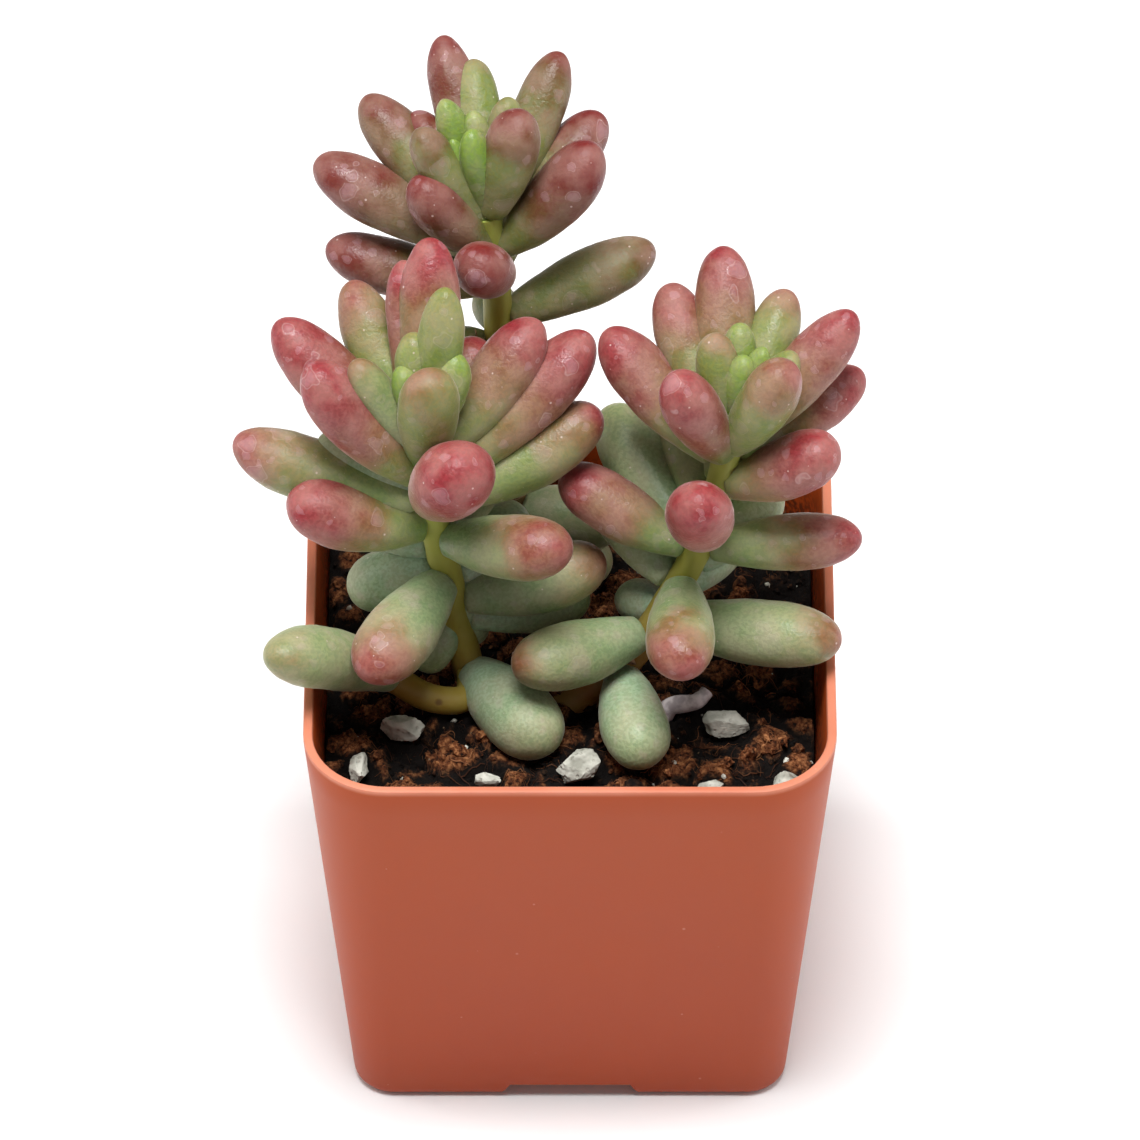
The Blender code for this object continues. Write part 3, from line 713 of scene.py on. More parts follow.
def leaf_facts(plant):
    """Where each leaf grows, and its numbers in the units that the tree reads."""
    path = stem_path(plant)
    rows = [(point_on_stem(path, height + SOIL_LEVEL), *row) for height, *row in LEAVES[plant]]
    if plant == "left":
        x, y, height = CREEPER_POINTS[-1]
        rows.append((Vector((x, y, height + SOIL_LEVEL)), *CREEPER_LEAF))
    places, azimuth, rise, curl, length, width, blush, green = zip(*rows)
    return places, {
        "azimuth": np.radians(azimuth), "rise": np.radians(rise), "curl": np.radians(curl),
        "length": np.array(length) * MM, "width": np.array(width) * MM, "blush": blush,
        "youth": np.clip(green, 0, 1), "shade": np.clip(np.negative(green), 0, 1),
        "brown": [BROWNNESS[plant]] * len(rows),
    }


def leafy_stem(plant):
    places, facts = leaf_facts(plant)
    line = stem_line(plant)
    plant_skin = add_object(f"sedum_{plant}", points_mesh("leaf_points", places, facts))
    grow(plant_skin, LEAFY_STEM, {"Stem line": line, "Leaf material": LEAF_SKIN, "Stem material": STEM_SKIN})
    bpy.data.objects.remove(line)
    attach(plant_skin, "root")
    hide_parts(f"leafy_stem_{plant}")


for plant in STEM_POINTS:
    leafy_stem(plant)

# %% [markdown]
# ## Pot
# The pot is pressed from thin terracotta-coloured plastic. It is a square with round corners that narrows
# towards the foot. A cube with bevels would do for a plain solid. Here a profile of heights and insets is
# carried round a rounded square, ring by ring, which gives smooth corners and a softly rounded rim.

# %% Pot sizes and rings
POT_WIDTH = 60.0
POT_HEIGHT = 55.0
POT_FOOT_WIDTH = 49.5
POT_WALL = 1.1
POT_FLOOR = 3.2
POT_CORNER_RADIUS = 9.5
POT_FOOT_CORNER_RADIUS = 4.5
POT_FOOT_ROUNDING = 1.4
CHANNEL_WIDTH = 13.8
CHANNEL_FOOT_WIDTH = 16.4
CHANNEL_HEIGHT = 2.2
CHANNEL_LENGTH = 8.0
DRAIN_RADIUS = 2.5
DRAIN_SPACING = 13.0
CORNER_STEPS = 14
INSIDE_STARTS = 25


def half_width_at(height):
    return (POT_FOOT_WIDTH + (POT_WIDTH - POT_FOOT_WIDTH) * height / POT_HEIGHT) / 2


def corner_radius_at(height):
    return POT_FOOT_CORNER_RADIUS + (POT_CORNER_RADIUS - POT_FOOT_CORNER_RADIUS) * height / POT_HEIGHT


def rounded_square(half, radius, height):
    """Points round a square with round corners, the same number for every size."""
    straight = half - radius
    ring = []
    for right, back in ((1, 1), (-1, 1), (-1, -1), (1, -1)):
        start = math.atan2(back, right) - math.pi / 4
        for angle in np.linspace(start, start + math.pi / 2, CORNER_STEPS):
            x = right * straight + radius * math.cos(angle)
            y = back * straight + radius * math.sin(angle)
            ring.append(Vector((x, y, height)))
    return ring


def join_rings(bm, low, high):
    for number in range(len(low)):
        follows = (number + 1) % len(low)
        bm.faces.new((low[number], low[follows], high[follows], high[number]))


# %% Pot profile and mesh


def quarter_arc(radius, steps):
    """Height and inset along a quarter circle, from flat to upright."""
    angles = np.linspace(0, math.pi / 2, steps)
    return [(radius * (1 - math.cos(angle)), radius * (1 - math.sin(angle))) for angle in angles]


def pot_profile():
    """Height and inset from the outer face: up the outside, over the rim and down the inside."""
    foot = quarter_arc(POT_FOOT_ROUNDING, 8)
    outside = [(height, 0.0) for height in np.linspace(POT_FOOT_ROUNDING, POT_HEIGHT - 0.3, 14)[1:]]
    lip = [(POT_HEIGHT - 0.08, 0.1), (POT_HEIGHT, 0.32), (POT_HEIGHT, 0.78), (POT_HEIGHT - 0.08, 1.0)]
    inside = [(height, POT_WALL) for height in np.linspace(POT_HEIGHT - 0.3, POT_FLOOR + 2, 12)]
    return foot + outside + lip + inside + [(POT_FLOOR + 0.6, POT_WALL + 0.6), (POT_FLOOR, POT_WALL + 2)]


def mesh_in_mm(name, bm, finish=None):
    """Turn a bmesh in millimetres into an object in metres."""
    bmesh.ops.scale(bm, vec=(MM, MM, MM), verts=bm.verts)
    bmesh.ops.recalc_face_normals(bm, faces=bm.faces)
    mesh = bpy.data.meshes.new(name)
    bm.to_mesh(mesh)
    bm.free()
    if finish:
        mesh.materials.append(finish)
    return add_object(name, mesh)


def pot_shell():
    bm = bmesh.new()
    rings = []
    for height, inset in pot_profile():
        ring = rounded_square(half_width_at(height) - inset, corner_radius_at(height) - inset, height)
        rings.append([bm.verts.new(point) for point in ring])
    for low, high in zip(rings, rings[1:]):
        join_rings(bm, low, high)
    bm.faces.new(rings[0])
    bm.faces.new(rings[-1])
    inside = len(rings[0]) * INSIDE_STARTS
    bm.faces.ensure_lookup_table()
    for face in bm.faces[inside:-2]:
        face.material_index = 1
    shell = mesh_in_mm("pot_shell", bm, POT_PLASTIC)
    shell.data.materials.append(DUSTY_PLASTIC)
    return shell


# %% [markdown]
# The underside has a shallow channel under each side, which shows as a low arch at the front, and four
# drain holes. One Boolean modifier takes them all away, the quickest way to cut one shape with another.

# %% Cut the channels and the drain holes


def foot_cutters():
    bm = bmesh.new()
    for turn in range(4):
        quarter = Matrix.Rotation(turn * math.pi / 2, 4, "Z")
        at_foot = quarter @ Matrix.Translation((0, -POT_FOOT_WIDTH / 2, 0))
        at_hole = quarter @ Matrix.Translation((DRAIN_SPACING, DRAIN_SPACING, 0))
        for vert in bmesh.ops.create_cube(bm, size=1.0)["verts"]:
            width = CHANNEL_WIDTH if vert.co.z > 0 else 2 * CHANNEL_FOOT_WIDTH - CHANNEL_WIDTH
            vert.co = at_foot @ (vert.co * Vector((width, CHANNEL_LENGTH, 2 * CHANNEL_HEIGHT)))
        bmesh.ops.create_cone(
            bm, cap_ends=True, segments=48, radius1=DRAIN_RADIUS, radius2=DRAIN_RADIUS, depth=4 * POT_FLOOR,
            matrix=at_hole,
        )
    return mesh_in_mm("foot_cutters", bm)


def cut(obj, cutter):
    modifier = obj.modifiers.new("cut", "BOOLEAN")
    modifier.operation = "DIFFERENCE"
    modifier.solver = "EXACT"
    modifier.object = cutter
    keep_result(obj)
    bpy.data.objects.remove(cutter)


def smooth(obj, sharp_from=35):
    """Shade round forms smooth and keep edges sharper than this many degrees."""
    obj.data.shade_smooth()
    obj.data.set_sharp_from_angle(angle=math.radians(sharp_from))


# %% [markdown]
# ## Pot finish
# Pressed plastic of this kind is an even terracotta with a satin skin. Its colour carries a painted highlight
# along the top of the rim and painted shade that makes it a little darker towards the foot. It is faintly
# cloudy, with a fine grain from the mould.

# %% Pot material


def pot_material(name, dusty):
    """The plastic, and on the inside of the pot the soil dust that clings to it."""
    made, tree, shader = new_material(
        name, Specular_IOR_Level=0.32, IOR=1.46, Subsurface_Weight=0.1, Subsurface_Scale=0.002
    )
    shader["Subsurface Radius"].default_value = (1.0, 0.35, 0.15)
    place = position(tree)
    height = parts_of(tree, place)["Z"]
    # painted shade: the plastic is mixed a little darker towards the foot
    share = rise_between(tree, height, 0.0, POT_HEIGHT * MM)
    colour = mixed(tree, share, srgb(158, 58, 18), srgb(172, 70, 22))
    cloud = mottled(tree, place, 0.016, detail=4.0, contrast=0.9)
    colour = mixed(tree, cloud * 0.18, colour, srgb(188, 86, 38))
    # painted highlight: a pale band along the top of the rim, patchy with the cloud
    rim_highlight = rise_between(tree, height, (POT_HEIGHT - 0.9) * MM, (POT_HEIGHT - 0.1) * MM)
    rim_highlight = rim_highlight * (cloud * 0.6 + 0.35)
    colour = mixed(tree, rim_highlight, colour, srgb(226, 150, 122))
    dust = specks(tree, place, 0.0021, 0.09, 0.16)
    colour = mixed(tree, dust * 0.3, colour, srgb(222, 170, 148))
    if dusty:
        low = rise_between(tree, height, (SOIL_LEVEL - 1) * MM, (POT_HEIGHT - 2) * MM, 0.85, 0.12)
        soiled = mottled(tree, place, 0.0007, detail=4.0, contrast=3.0)
        colour = mixed(tree, low * soiled, colour, srgb(54, 26, 16))
    normal = bump(tree, cloudy(tree, place, 5200.0, 2.0), 0.00002, 0.35)
    feed_shader(tree, shader, Base_Color=colour, Roughness=cloud * 0.1 + 0.4, Normal=normal)
    return made


POT_PLASTIC = pot_material("terracotta_plastic", dusty=False)
DUSTY_PLASTIC = pot_material("dusty_terracotta_plastic", dusty=True)

# %% Make the pot
pot = pot_shell()
cut(pot, foot_cutters())
smooth(pot)
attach(pot, "root")
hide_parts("pot")

# %% [markdown]
# ## Soil
# Potting soil is peat with coir: near black, crumbly, with clumps of reddish-brown fibre. A flat sheet with
# a bump map has a straight edge at the wall. Here a fine grid takes the same hills as the solid and gets
# a dome for each crumb, and it sinks under the leaves that lie on it.

# %% Heights of the soil
CLEARANCE = 0.35
SOIL_RELIEF = 1.3
SOIL_CELLS = 180
LOW_LEAF_HEIGHT = 8.5
PUMICE = [
    (-19.2, -10.7, 0.5, 2.5, 1.4, 1.8), (1.4, -16.8, 0.7, 2.6, 2.1, 2.0), (17.7, -9.8, 0.3, 2.5, 1.7, 1.5),
    (-24.0, -17.4, 0.5, 1.2, 1.9, 1.5), (-9.5, -18.2, 0.3, 1.7, 0.9, 0.9), (15.9, -20.0, 0.2, 1.4, 1.0, 1.1),
    (24.2, -19.0, 0.4, 1.6, 1.3, 1.3), (19.0, 19.0, 0.5, 2.2, 1.8, 1.7), (-20.0, 21.0, 0.4, 1.9, 2.2, 1.6),
]
ROOT_PIECE = [(10.4, -7.6, -1.0), (11.6, -7.3, 0.6), (14.0, -7.3, 1.1), (15.0, -6.7, 1.4), (15.6, -6.0, 1.7)]
CLEAR_SPOTS = [(x, y, max(width, depth)) for x, y, lift, width, depth, height in PUMICE]
CLEAR_SPOTS += [(x, y, 0.8) for x, y, height in ROOT_PIECE]
CLOD_SCALE = 0.16
LUMP_SCALE = 0.45
CLUMP_SPACING = 4.6
CLUMP_SHARE = 0.86
CLUMP_RISE = 3.4


def soil_height(x, y):
    """Height of the soil's surface at a place: clods, lumps and a slight dish."""
    clods = noise.noise(Vector((x * CLOD_SCALE, y * CLOD_SCALE, 3.7)))
    lumps = noise.noise(Vector((x * LUMP_SCALE, y * LUMP_SCALE, 9.1)))
    dish = 0.5 * (max(abs(x), abs(y)) / (POT_WIDTH / 2)) ** 4
    return SOIL_LEVEL + SOIL_RELIEF * (clods + 0.5 * lumps) - dish


def clump_at(x, y):
    """A dome of coir from 0 to 1, on most places of an uneven pattern, away from stones and the root."""
    wobble = [0.9 * noise.noise(Vector((x * 0.5, y * 0.5, level))) for level in (1.0, 8.0)]
    place = Vector((x + wobble[0], y + wobble[1], 0)) / CLUMP_SPACING
    distances, centres = noise.voronoi(place)
    chance = 0.5 + 0.5 * noise.noise(centres[0] * 9.7 + Vector((0, 0, 4.0)))
    clearing = min(math.hypot(x - spot[0], y - spot[1]) - spot[2] for spot in CLEAR_SPOTS)
    room = min(max(clearing / 1.2, 0.0), 1.0)
    edge = min(max((distances[1] - distances[0]) * 2.4, 0.0), 1.0)
    return edge * room * (1.0 if chance < CLUMP_SHARE else 0.25)


def crumb_height(x, y):
    """Domes with gaps between them, in three sizes."""
    wobble = 0.5 * noise.noise(Vector((x * 0.9, y * 0.9, 1.0)))
    large = noise.voronoi(Vector((x * 0.7 + wobble, y * 0.7, 2.0)))[0][0]
    small = noise.voronoi(Vector((x * 1.7, y * 1.7 + wobble, 5.0)))[0][0]
    clump = math.sqrt(clump_at(x, y))
    return CLUMP_RISE * 0.5 * (clump - 0.62) + 0.9 * (0.38 - large) + 0.5 * (0.36 - small)


# %% Leaves that press into the soil


def leaf_line(root, azimuth, rise, curl, length, width):
    """Points on the middle line of a leaf, each with the half width there."""
    chord = math.radians(rise)
    turn = Matrix.Rotation(math.radians(azimuth), 3, "Z")
    for share in np.linspace(0.06, 0.96, 16):
        sag = math.radians(curl) / 2 * share * (1 - share) * length
        start = LEAF_START * math.cos(chord)
        along = Vector((math.cos(chord), 0, math.sin(chord))) * (start + share * (length - start))
        middle = root + turn @ (along + Vector((math.sin(chord), 0, -math.cos(chord))) * sag)
        swell = LEAF_NECK + (1 - LEAF_NECK) * math.sin(min(share / LEAF_FULLEST, 1) * math.pi / 2)
        blunt = math.sqrt(1 - max(0.0, (share - LEAF_FULLEST) / (1 - LEAF_FULLEST)) ** 2.4)
        yield (*middle, swell * blunt * width / 2)


def low_leaf_points():
    points = []
    for plant, rows in LEAVES.items():
        path = stem_path(plant)
        for height, *shape in rows:
            if height < LOW_LEAF_HEIGHT:
                points += leaf_line(point_on_stem(path, height + SOIL_LEVEL), *shape[:5])
    shoot = path_over_soil(CREEPER_POINTS, 6)
    points += leaf_line(shoot[-1], *CREEPER_LEAF[:5])
    return np.array(points + [(*place, CREEPER_RADII[1]) for place in shoot])


def press(tops, points, gap=0.25):
    """Lower the surface wherever one of the balls round these points would touch it."""
    for x, y, z, radius in points:
        reach = (radius + gap) ** 2 - (tops[:, 0] - x) ** 2 - (tops[:, 1] - y) ** 2
        inside = reach > 0
        underside = z - 0.9 * np.sqrt(np.where(inside, reach, 0))
        tops[:, 2] = np.where(inside, np.minimum(tops[:, 2], underside), tops[:, 2])
    return tops


# %% The soil's mesh


def rounded_place(across, back, half, radius):
    """Where a point of the square from -1 to 1 goes on a square with round corners."""
    size = max(abs(across), abs(back), 1e-9)
    straight = half - radius
    edge = [abs(value) / size * half for value in (across, back)]
    over = [max(value - straight, 0.0) for value in edge]
    squash = max(over) / max(math.hypot(*over), 1e-9)
    spot = [(min(value, straight) + extra * squash) * size for value, extra in zip(edge, over)]
    return math.copysign(spot[0], across), math.copysign(spot[1], back)


def soil_bed(finish):
    """The bumpy top over a plain block that fills the pot."""
    bm = bmesh.new()
    bmesh.ops.create_grid(bm, x_segments=SOIL_CELLS, y_segments=SOIL_CELLS, size=1.0)
    half = half_width_at(SOIL_LEVEL) - POT_WALL - CLEARANCE
    radius = corner_radius_at(SOIL_LEVEL) - POT_WALL - CLEARANCE
    spots = [rounded_place(vert.co.x, vert.co.y, half, radius) for vert in bm.verts]
    tops = np.array([(x, y, soil_height(x, y) + crumb_height(x, y)) for x, y in spots])
    for vert, top in zip(bm.verts, press(tops, low_leaf_points())):
        vert.co = top
    bottom = POT_FLOOR + CLEARANCE
    taper = (half_width_at(bottom + 2) - POT_WALL - CLEARANCE) / half
    border = [vert for vert in bm.verts if vert.is_boundary]
    border.sort(key=lambda vert: math.atan2(vert.co.y, vert.co.x))
    foot = [bm.verts.new((vert.co.x * taper, vert.co.y * taper, bottom)) for vert in border]
    join_rings(bm, foot, border)
    bm.faces.new(foot)
    bed = mesh_in_mm("soil_bed", bm, finish)
    clumps = [clump_at(vert.co.x / MM, vert.co.y / MM) for vert in bed.data.vertices]
    bed.data.attributes.new("clump", "FLOAT", "POINT").data.foreach_set("value", clumps)
    return bed


# %% [markdown]
# ## Soil finish
# One material does for the bed, the loose crumbs and the fibres. Its colour runs from near black to the
# reddish brown of coir. The bed takes its tone from a cloudy pattern, and loose bits add one of their own.
# A fine strand pattern, which is also the bump, is paler coir on its crests with a painted highlight, and
# near black with painted shade in its hollows.

# %% Soil material


def soil_material(name, own_tone):
    """Colour by clump for the bed, and by each loose bit's own tone too."""
    made, tree, shader = new_material(name, Specular_IOR_Level=0.2)
    place = position(tree)
    clump = rise_between(tree, attribute(tree, "clump"), 0.15, 0.9)
    tone = clump * 0.62
    if own_tone:
        own = attribute(tree, "tone") * 0.9 - 0.25
        tone = calc(tree, "MULTIPLY_ADD", own, clump * 0.7 + 0.3, tone, clamp=True)
    strands = cloudy(tree, place, 1500.0, 6.0, roughness=0.7)
    colour = mixed(tree, rise_between(tree, tone, 0.05, 0.75), srgb(18, 12, 9), srgb(116, 66, 38))
    # pale coir on the crests of the strand pattern, its paleness partly a painted highlight
    bright = rise_between(tree, strands, 0.48, 0.64) * tone
    colour = mixed(tree, bright, colour, srgb(198, 136, 88))
    # painted shade: near black in the hollows of the strand pattern, which is also the bump
    colour = mixed(tree, rise_between(tree, strands, 0.5, 0.36), colour, srgb(10, 6, 5))
    dots = specks(tree, place, 0.0016, 0.15, 0.06)
    colour = mixed(tree, dots * 0.6, colour, srgb(170, 140, 108))
    normal = bump(tree, strands, 0.0006, 0.9)
    feed_shader(tree, shader, Base_Color=colour, Roughness=tone * 0.1 + 0.82, Normal=normal)
    return made


SOIL = soil_material("potting_soil", own_tone=False)
LOOSE_SOIL = soil_material("loose_soil", own_tone=True)

bed = soil_bed(SOIL)
bed.data.shade_smooth()
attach(bed, "root")
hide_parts("soil")
print("soil bed:", len(bed.data.polygons), "faces")

# %% [markdown]
# ## Loose crumbs, grit and fibres
# Thousands of small bits lie on the soil. One tree scatters a shape over the surface, each copy turned and
# sized at random from a fixed seed. A second tree does the same with strands of coir, and then lowers
# every point of each strand onto the soil, so that the strands lie over the crumbs.

# %% Tree that scatters bits
CRUMB_REACH = 0.0272
FIBRE_REACH = 0.0245
FULL_TURN = 6.28
# Random Value has sockets of its own for each kind: the numbers of the low, the high and the result
RANDOM_SOCKETS = {"FLOAT_VECTOR": (0, 1, 0), "FLOAT": (2, 3, 1)}


def random_between(tree, kind, low, high, seed):
    first, second, output = RANDOM_SOCKETS[kind]
    inputs = {first: low, second: high, "Seed": seed}
    return add_node(tree, "FunctionNodeRandomValue", inputs, data_type=kind)[output]


def scattered_points(tree, given, reach, amount):
    """Points on top of the soil, within reach of the middle, each with its own tone."""
    upward = parts_of(tree, add_node(tree, "GeometryNodeInputNormal")[0])["Z"]
    of_face = add_node(tree, "GeometryNodeFieldOnDomain", {"Value": upward}, domain="FACE")[0]
    top = calc(tree, "GREATER_THAN", of_face, 0.0) * calc(tree, "GREATER_THAN", upward, 0.2)
    away = parts_of(tree, calc_vector(tree, "ABSOLUTE", add_node(tree, "GeometryNodeInputPosition")[0]))
    near = calc(tree, "LESS_THAN", calc(tree, "MAXIMUM", away["X"], away["Y"]), reach)
    points = add_node(tree, "GeometryNodeDistributePointsOnFaces", {
        "Mesh": given["Geometry"], "Selection": top * near, "Density": amount, "Seed": given["Seed"],
    })
    return store(tree, points["Points"], "tone", random_between(tree, "FLOAT", 0.0, 1.0, given["Seed"]))


SCATTER_INPUTS = {
    "Geometry": ("Geometry", None), "Shape": ("Object", None), "Per square metre": ("Float", 300000.0),
    "Smallest": ("Float", 0.0003), "Largest": ("Float", 0.001), "Seed": ("Int", 1),
    "Finish": ("Material", None),
}


def scatter_tree():
    tree, given, result = new_geometry_tree("scatter_bits", SCATTER_INPUTS)
    crowded = stored(tree, "clump") * 0.85 + 0.15
    points = scattered_points(tree, given, CRUMB_REACH, given["Per square metre"] * crowded)
    chance = random_between(tree, "FLOAT", 0.0, 1.0, given["Seed"] + 11.0)
    span = given["Largest"] - given["Smallest"]
    size = chance ** 2.5 * span + given["Smallest"]
    later = given["Seed"] + 23.0
    stretch = random_between(tree, "FLOAT_VECTOR", (0.65, 0.65, 0.5), (1.25, 1.1, 0.9), later)
    turn = random_between(tree, "FLOAT_VECTOR", (0.0, 0.0, 0.0), (FULL_TURN,) * 3, later + 9.0)
    placed = add_node(tree, "GeometryNodeInstanceOnPoints", {
        "Points": points, "Rotation": turn, "Scale": scaled(tree, stretch, size),
        "Instance": add_node(tree, "GeometryNodeObjectInfo", {"Object": given["Shape"]})["Geometry"],
    })
    feed(tree, result["Geometry"], finished(tree, placed[0], given["Finish"]))
    return tree


SCATTER = scatter_tree()

# %% Scatter the crumbs


def crumb_shape(subdivisions, roughness):
    """A small lump to copy, one unit in radius."""
    bm = bmesh.new()
    bmesh.ops.create_icosphere(bm, subdivisions=subdivisions, radius=1.0)
    for vert in bm.verts:
        vert.co *= 1 + roughness * noise.noise(vert.co * 1.9)
    mesh = bpy.data.meshes.new("crumb_shape")
    bm.to_mesh(mesh)
    bm.free()
    return add_object("crumb_shape", mesh)


def scatter(name, shape, amount, smallest, largest, seed, finish):
    piece = add_object(name, bed.data.copy())
    settings = {
        "Shape": shape, "Per square metre": amount, "Smallest": smallest * MM, "Largest": largest * MM,
        "Seed": seed, "Finish": finish,
    }
    grow(piece, SCATTER, settings)
    bpy.data.objects.remove(shape)
    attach(piece, "root")


scatter("soil_crumbs", crumb_shape(2, 0.7), 330000.0, 0.35, 1.15, 3, LOOSE_SOIL)
scatter("soil_bits", crumb_shape(1, 0.7), 1300000.0, 0.12, 0.4, 8, LOOSE_SOIL)

# %% Tree that drapes fibres
FIBRE_INPUTS = {
    "Geometry": ("Geometry", None), "Strand": ("Object", None), "Per square metre": ("Float", 200000.0),
    "Seed": ("Int", 1), "Finish": ("Material", None),
}


def fibre_tree():
    tree, given, result = new_geometry_tree("drape_fibres", FIBRE_INPUTS)
    spot = add_node(tree, "GeometryNodeInputPosition")[0]
    in_clump = stored(tree, "clump") * 0.97 + 0.03
    points = scattered_points(tree, given, FIBRE_REACH, given["Per square metre"] * in_clump)
    strand = add_node(tree, "GeometryNodeObjectInfo", {"Object": given["Strand"]})["Geometry"]
    turn = random_between(tree, "FLOAT", 0.0, FULL_TURN, given["Seed"] + 5.0)
    later = given["Seed"] + 17.0
    stretch = random_between(tree, "FLOAT_VECTOR", (0.15, 0.1, 0.4), (0.75, 1.0, 1.2), later)
    placed = add_node(tree, "GeometryNodeInstanceOnPoints", {
        "Points": points, "Instance": store(tree, strand, "lift", parts_of(tree, spot)["Z"]),
        "Rotation": vector_of(tree, 0.0, 0.0, turn), "Scale": stretch,
    })
    real = realized(tree, placed[0])
    above = calc_vector(tree, "ADD", spot, (0.0, 0.0, 0.02))
    ground = add_node(tree, "GeometryNodeRaycast", {
        "Target Geometry": given["Geometry"], "Source Position": above, "Ray Direction": (0.0, 0.0, -1.0),
        "Ray Length": 0.05,
    })
    lifted = calc_vector(tree, "ADD", ground["Hit Position"], vector_of(tree, 0.0, 0.0, stored(tree, "lift")))
    draped = moved(tree, real, Selection=ground["Is Hit"], Position=lifted)
    feed(tree, result["Geometry"], finished(tree, draped, given["Finish"]))
    return tree


DRAPE = fibre_tree()

# %% Fibres of coir


def add_tube(bm, path, radii, sides):
    """A closed tube round a path, with a ring of corners at each point."""
    aside = (path[1] - path[0]).orthogonal().normalized()
    rings = []
    for number, (place, radius) in enumerate(zip(path, radii)):
        ahead = (path[min(number + 1, len(path) - 1)] - path[max(number - 1, 0)]).normalized()
        aside = (aside - ahead * aside.dot(ahead)).normalized()
        up = ahead.cross(aside)
        angles = np.linspace(0, 2 * math.pi, sides, endpoint=False)
        spokes = [aside * math.cos(angle) + up * math.sin(angle) for angle in angles]
        rings.append([bm.verts.new(place + spoke * radius) for spoke in spokes])
    for low, high in zip(rings, rings[1:]):
        join_rings(bm, low, high)
    bm.faces.new(rings[0])
    bm.faces.new(rings[-1])


STRAND_HALF_LENGTH = 2.5
STRAND_RADIUS = 0.06


def strand_shape():
    """A bent strand, half as thick at its ends."""
    bm = bmesh.new()
    path = []
    for x in np.linspace(-STRAND_HALF_LENGTH, STRAND_HALF_LENGTH, 9):
        side = 0.5 * math.sin(x * 1.1) + 0.12 * x * x
        path.append(Vector((x, side, 0.12 + 0.25 * math.cos(x * 1.3) ** 2)))
    radii = [STRAND_RADIUS * (1 - 0.5 * abs(point.x) / STRAND_HALF_LENGTH) for point in path]
    add_tube(bm, path, radii, 4)
    return mesh_in_mm("strand_shape", bm)


def fibre_material():
    made, tree, shader = new_material("coir_fibre", Specular_IOR_Level=0.3)
    tone = attribute(tree, "tone")
    grain = mottled(tree, position(tree), 0.0012, contrast=1.5)
    colour = mixed(tree, tone, srgb(70, 38, 22), srgb(186, 126, 82))
    colour = mixed(tree, rise_between(tree, attribute(tree, "clump"), 0.1, 0.5), srgb(46, 27, 18), colour)
    colour = mixed(tree, grain * 0.5, colour, srgb(104, 60, 36))
    feed_shader(tree, shader, Base_Color=colour, Roughness=grain * 0.2 + 0.6)
    return made


fibres = add_object("coir_fibres", bed.data.copy())
strand = strand_shape()
grow(fibres, DRAPE, {"Strand": strand, "Per square metre": 800000.0, "Seed": 4, "Finish": fibre_material()})
bpy.data.objects.remove(strand)
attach(fibres, "root")

# %% [markdown]
# ## Pumice
# The pale stones are pumice: angular, light grey to off-white, full of tiny pits. A ball of noise alone is
# a potato. Each stone starts as the same ball as its solid, then flat cuts knock off its corners, and
# the material gives it pits, bumped in and darkened with painted shade.

# %% Pumice stones
CUTS_PER_STONE = 16


def knocked_off(point, cuts):
    """Pull a point of the ball back to the nearest of the flat cuts."""
    reach = max(point.dot(direction) / depth for direction, depth in cuts)
    return point / max(reach, 1.0)


def add_stone(bm, place, half_sizes, seed):
    chance = np.random.default_rng(seed)
    cuts = []
    for _ in range(CUTS_PER_STONE):
        direction = Vector(chance.normal(size=3)).normalized()
        cuts.append((direction, chance.uniform(0.56, 0.86)))
    for vert in bmesh.ops.create_icosphere(bm, subdivisions=5, radius=1.0)["verts"]:
        start = vert.co.copy()
        push = noise.noise(start * 1.3 + Vector((seed * 7.3, seed * 3.1, 0.5)))
        shaped = knocked_off(start * (1 + 0.32 * push), cuts)
        shaped *= 1.14 + 0.05 * noise.noise(start * 6 + Vector((seed, 0, 0)))
        vert.co = place + Vector([axis * half for axis, half in zip(shaped, half_sizes)])


def pumice_material():
    made, tree, shader = new_material("pumice_stone", Specular_IOR_Level=0.3)
    place = position(tree)
    cloud = mottled(tree, place, 0.0016, detail=5.0, contrast=1.6)
    colour = mixed(tree, cloud, srgb(160, 160, 148), srgb(216, 216, 204))
    # the pits are bumped in and darkened with painted shade
    pits = specks(tree, place, 0.0006, 0.4, 0.55)
    colour = mixed(tree, pits * 0.3, colour, srgb(136, 130, 116))
    dirt = specks(tree, place, 0.0013, 0.3, 0.3)
    colour = mixed(tree, dirt * 0.4, colour, srgb(96, 74, 58))
    normal = bump(tree, cloud - pits, 0.00014, 0.8)
    feed_shader(tree, shader, Base_Color=colour, Roughness=cloud * 0.15 + 0.75, Normal=normal)
    return made


PUMICE_STONE = pumice_material()
stones = bmesh.new()
for number, (x, y, lift, *half_sizes) in enumerate(PUMICE, 1):
    add_stone(stones, Vector((x, y, soil_height(x, y) + lift)), half_sizes, number)
pumice = mesh_in_mm("pumice_stones", stones, PUMICE_STONE)
smooth(pumice, sharp_from=24)
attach(pumice, "root")
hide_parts(*[f"pumice_{number}" for number in range(1, len(PUMICE) + 1)])
scatter("pumice_grit", crumb_shape(1, 0.9), 42000.0, 0.12, 0.5, 21, PUMICE_STONE)

# %% [markdown]
# ## Dry root
# One curled piece of an old root lies half in the soil. It is grey with a touch of mauve, ribbed along its
# length, and blunt where it broke. A tube along the same line as its solid carries small ribs.

# %% Dry root
ROOT_PIECE_RADIUS = 1.0


def dry_root(finish):
    path = path_over_soil(ROOT_PIECE, 10)
    shares = np.linspace(0, 1, len(path))
    radii = [ROOT_PIECE_RADIUS * (1.16 - 0.4 * share + 0.03 * math.sin(share * 21)) for share in shares]
    radii[0] *= 0.6
    radii[-1] *= 0.6
    bm = bmesh.new()
    add_tube(bm, path, radii, 28)
    bm.normal_update()
    for vert in bm.verts:
        vert.co += vert.normal * 0.05 * noise.noise(vert.co * 1.1)
    return mesh_in_mm("dry_root", bm, finish)


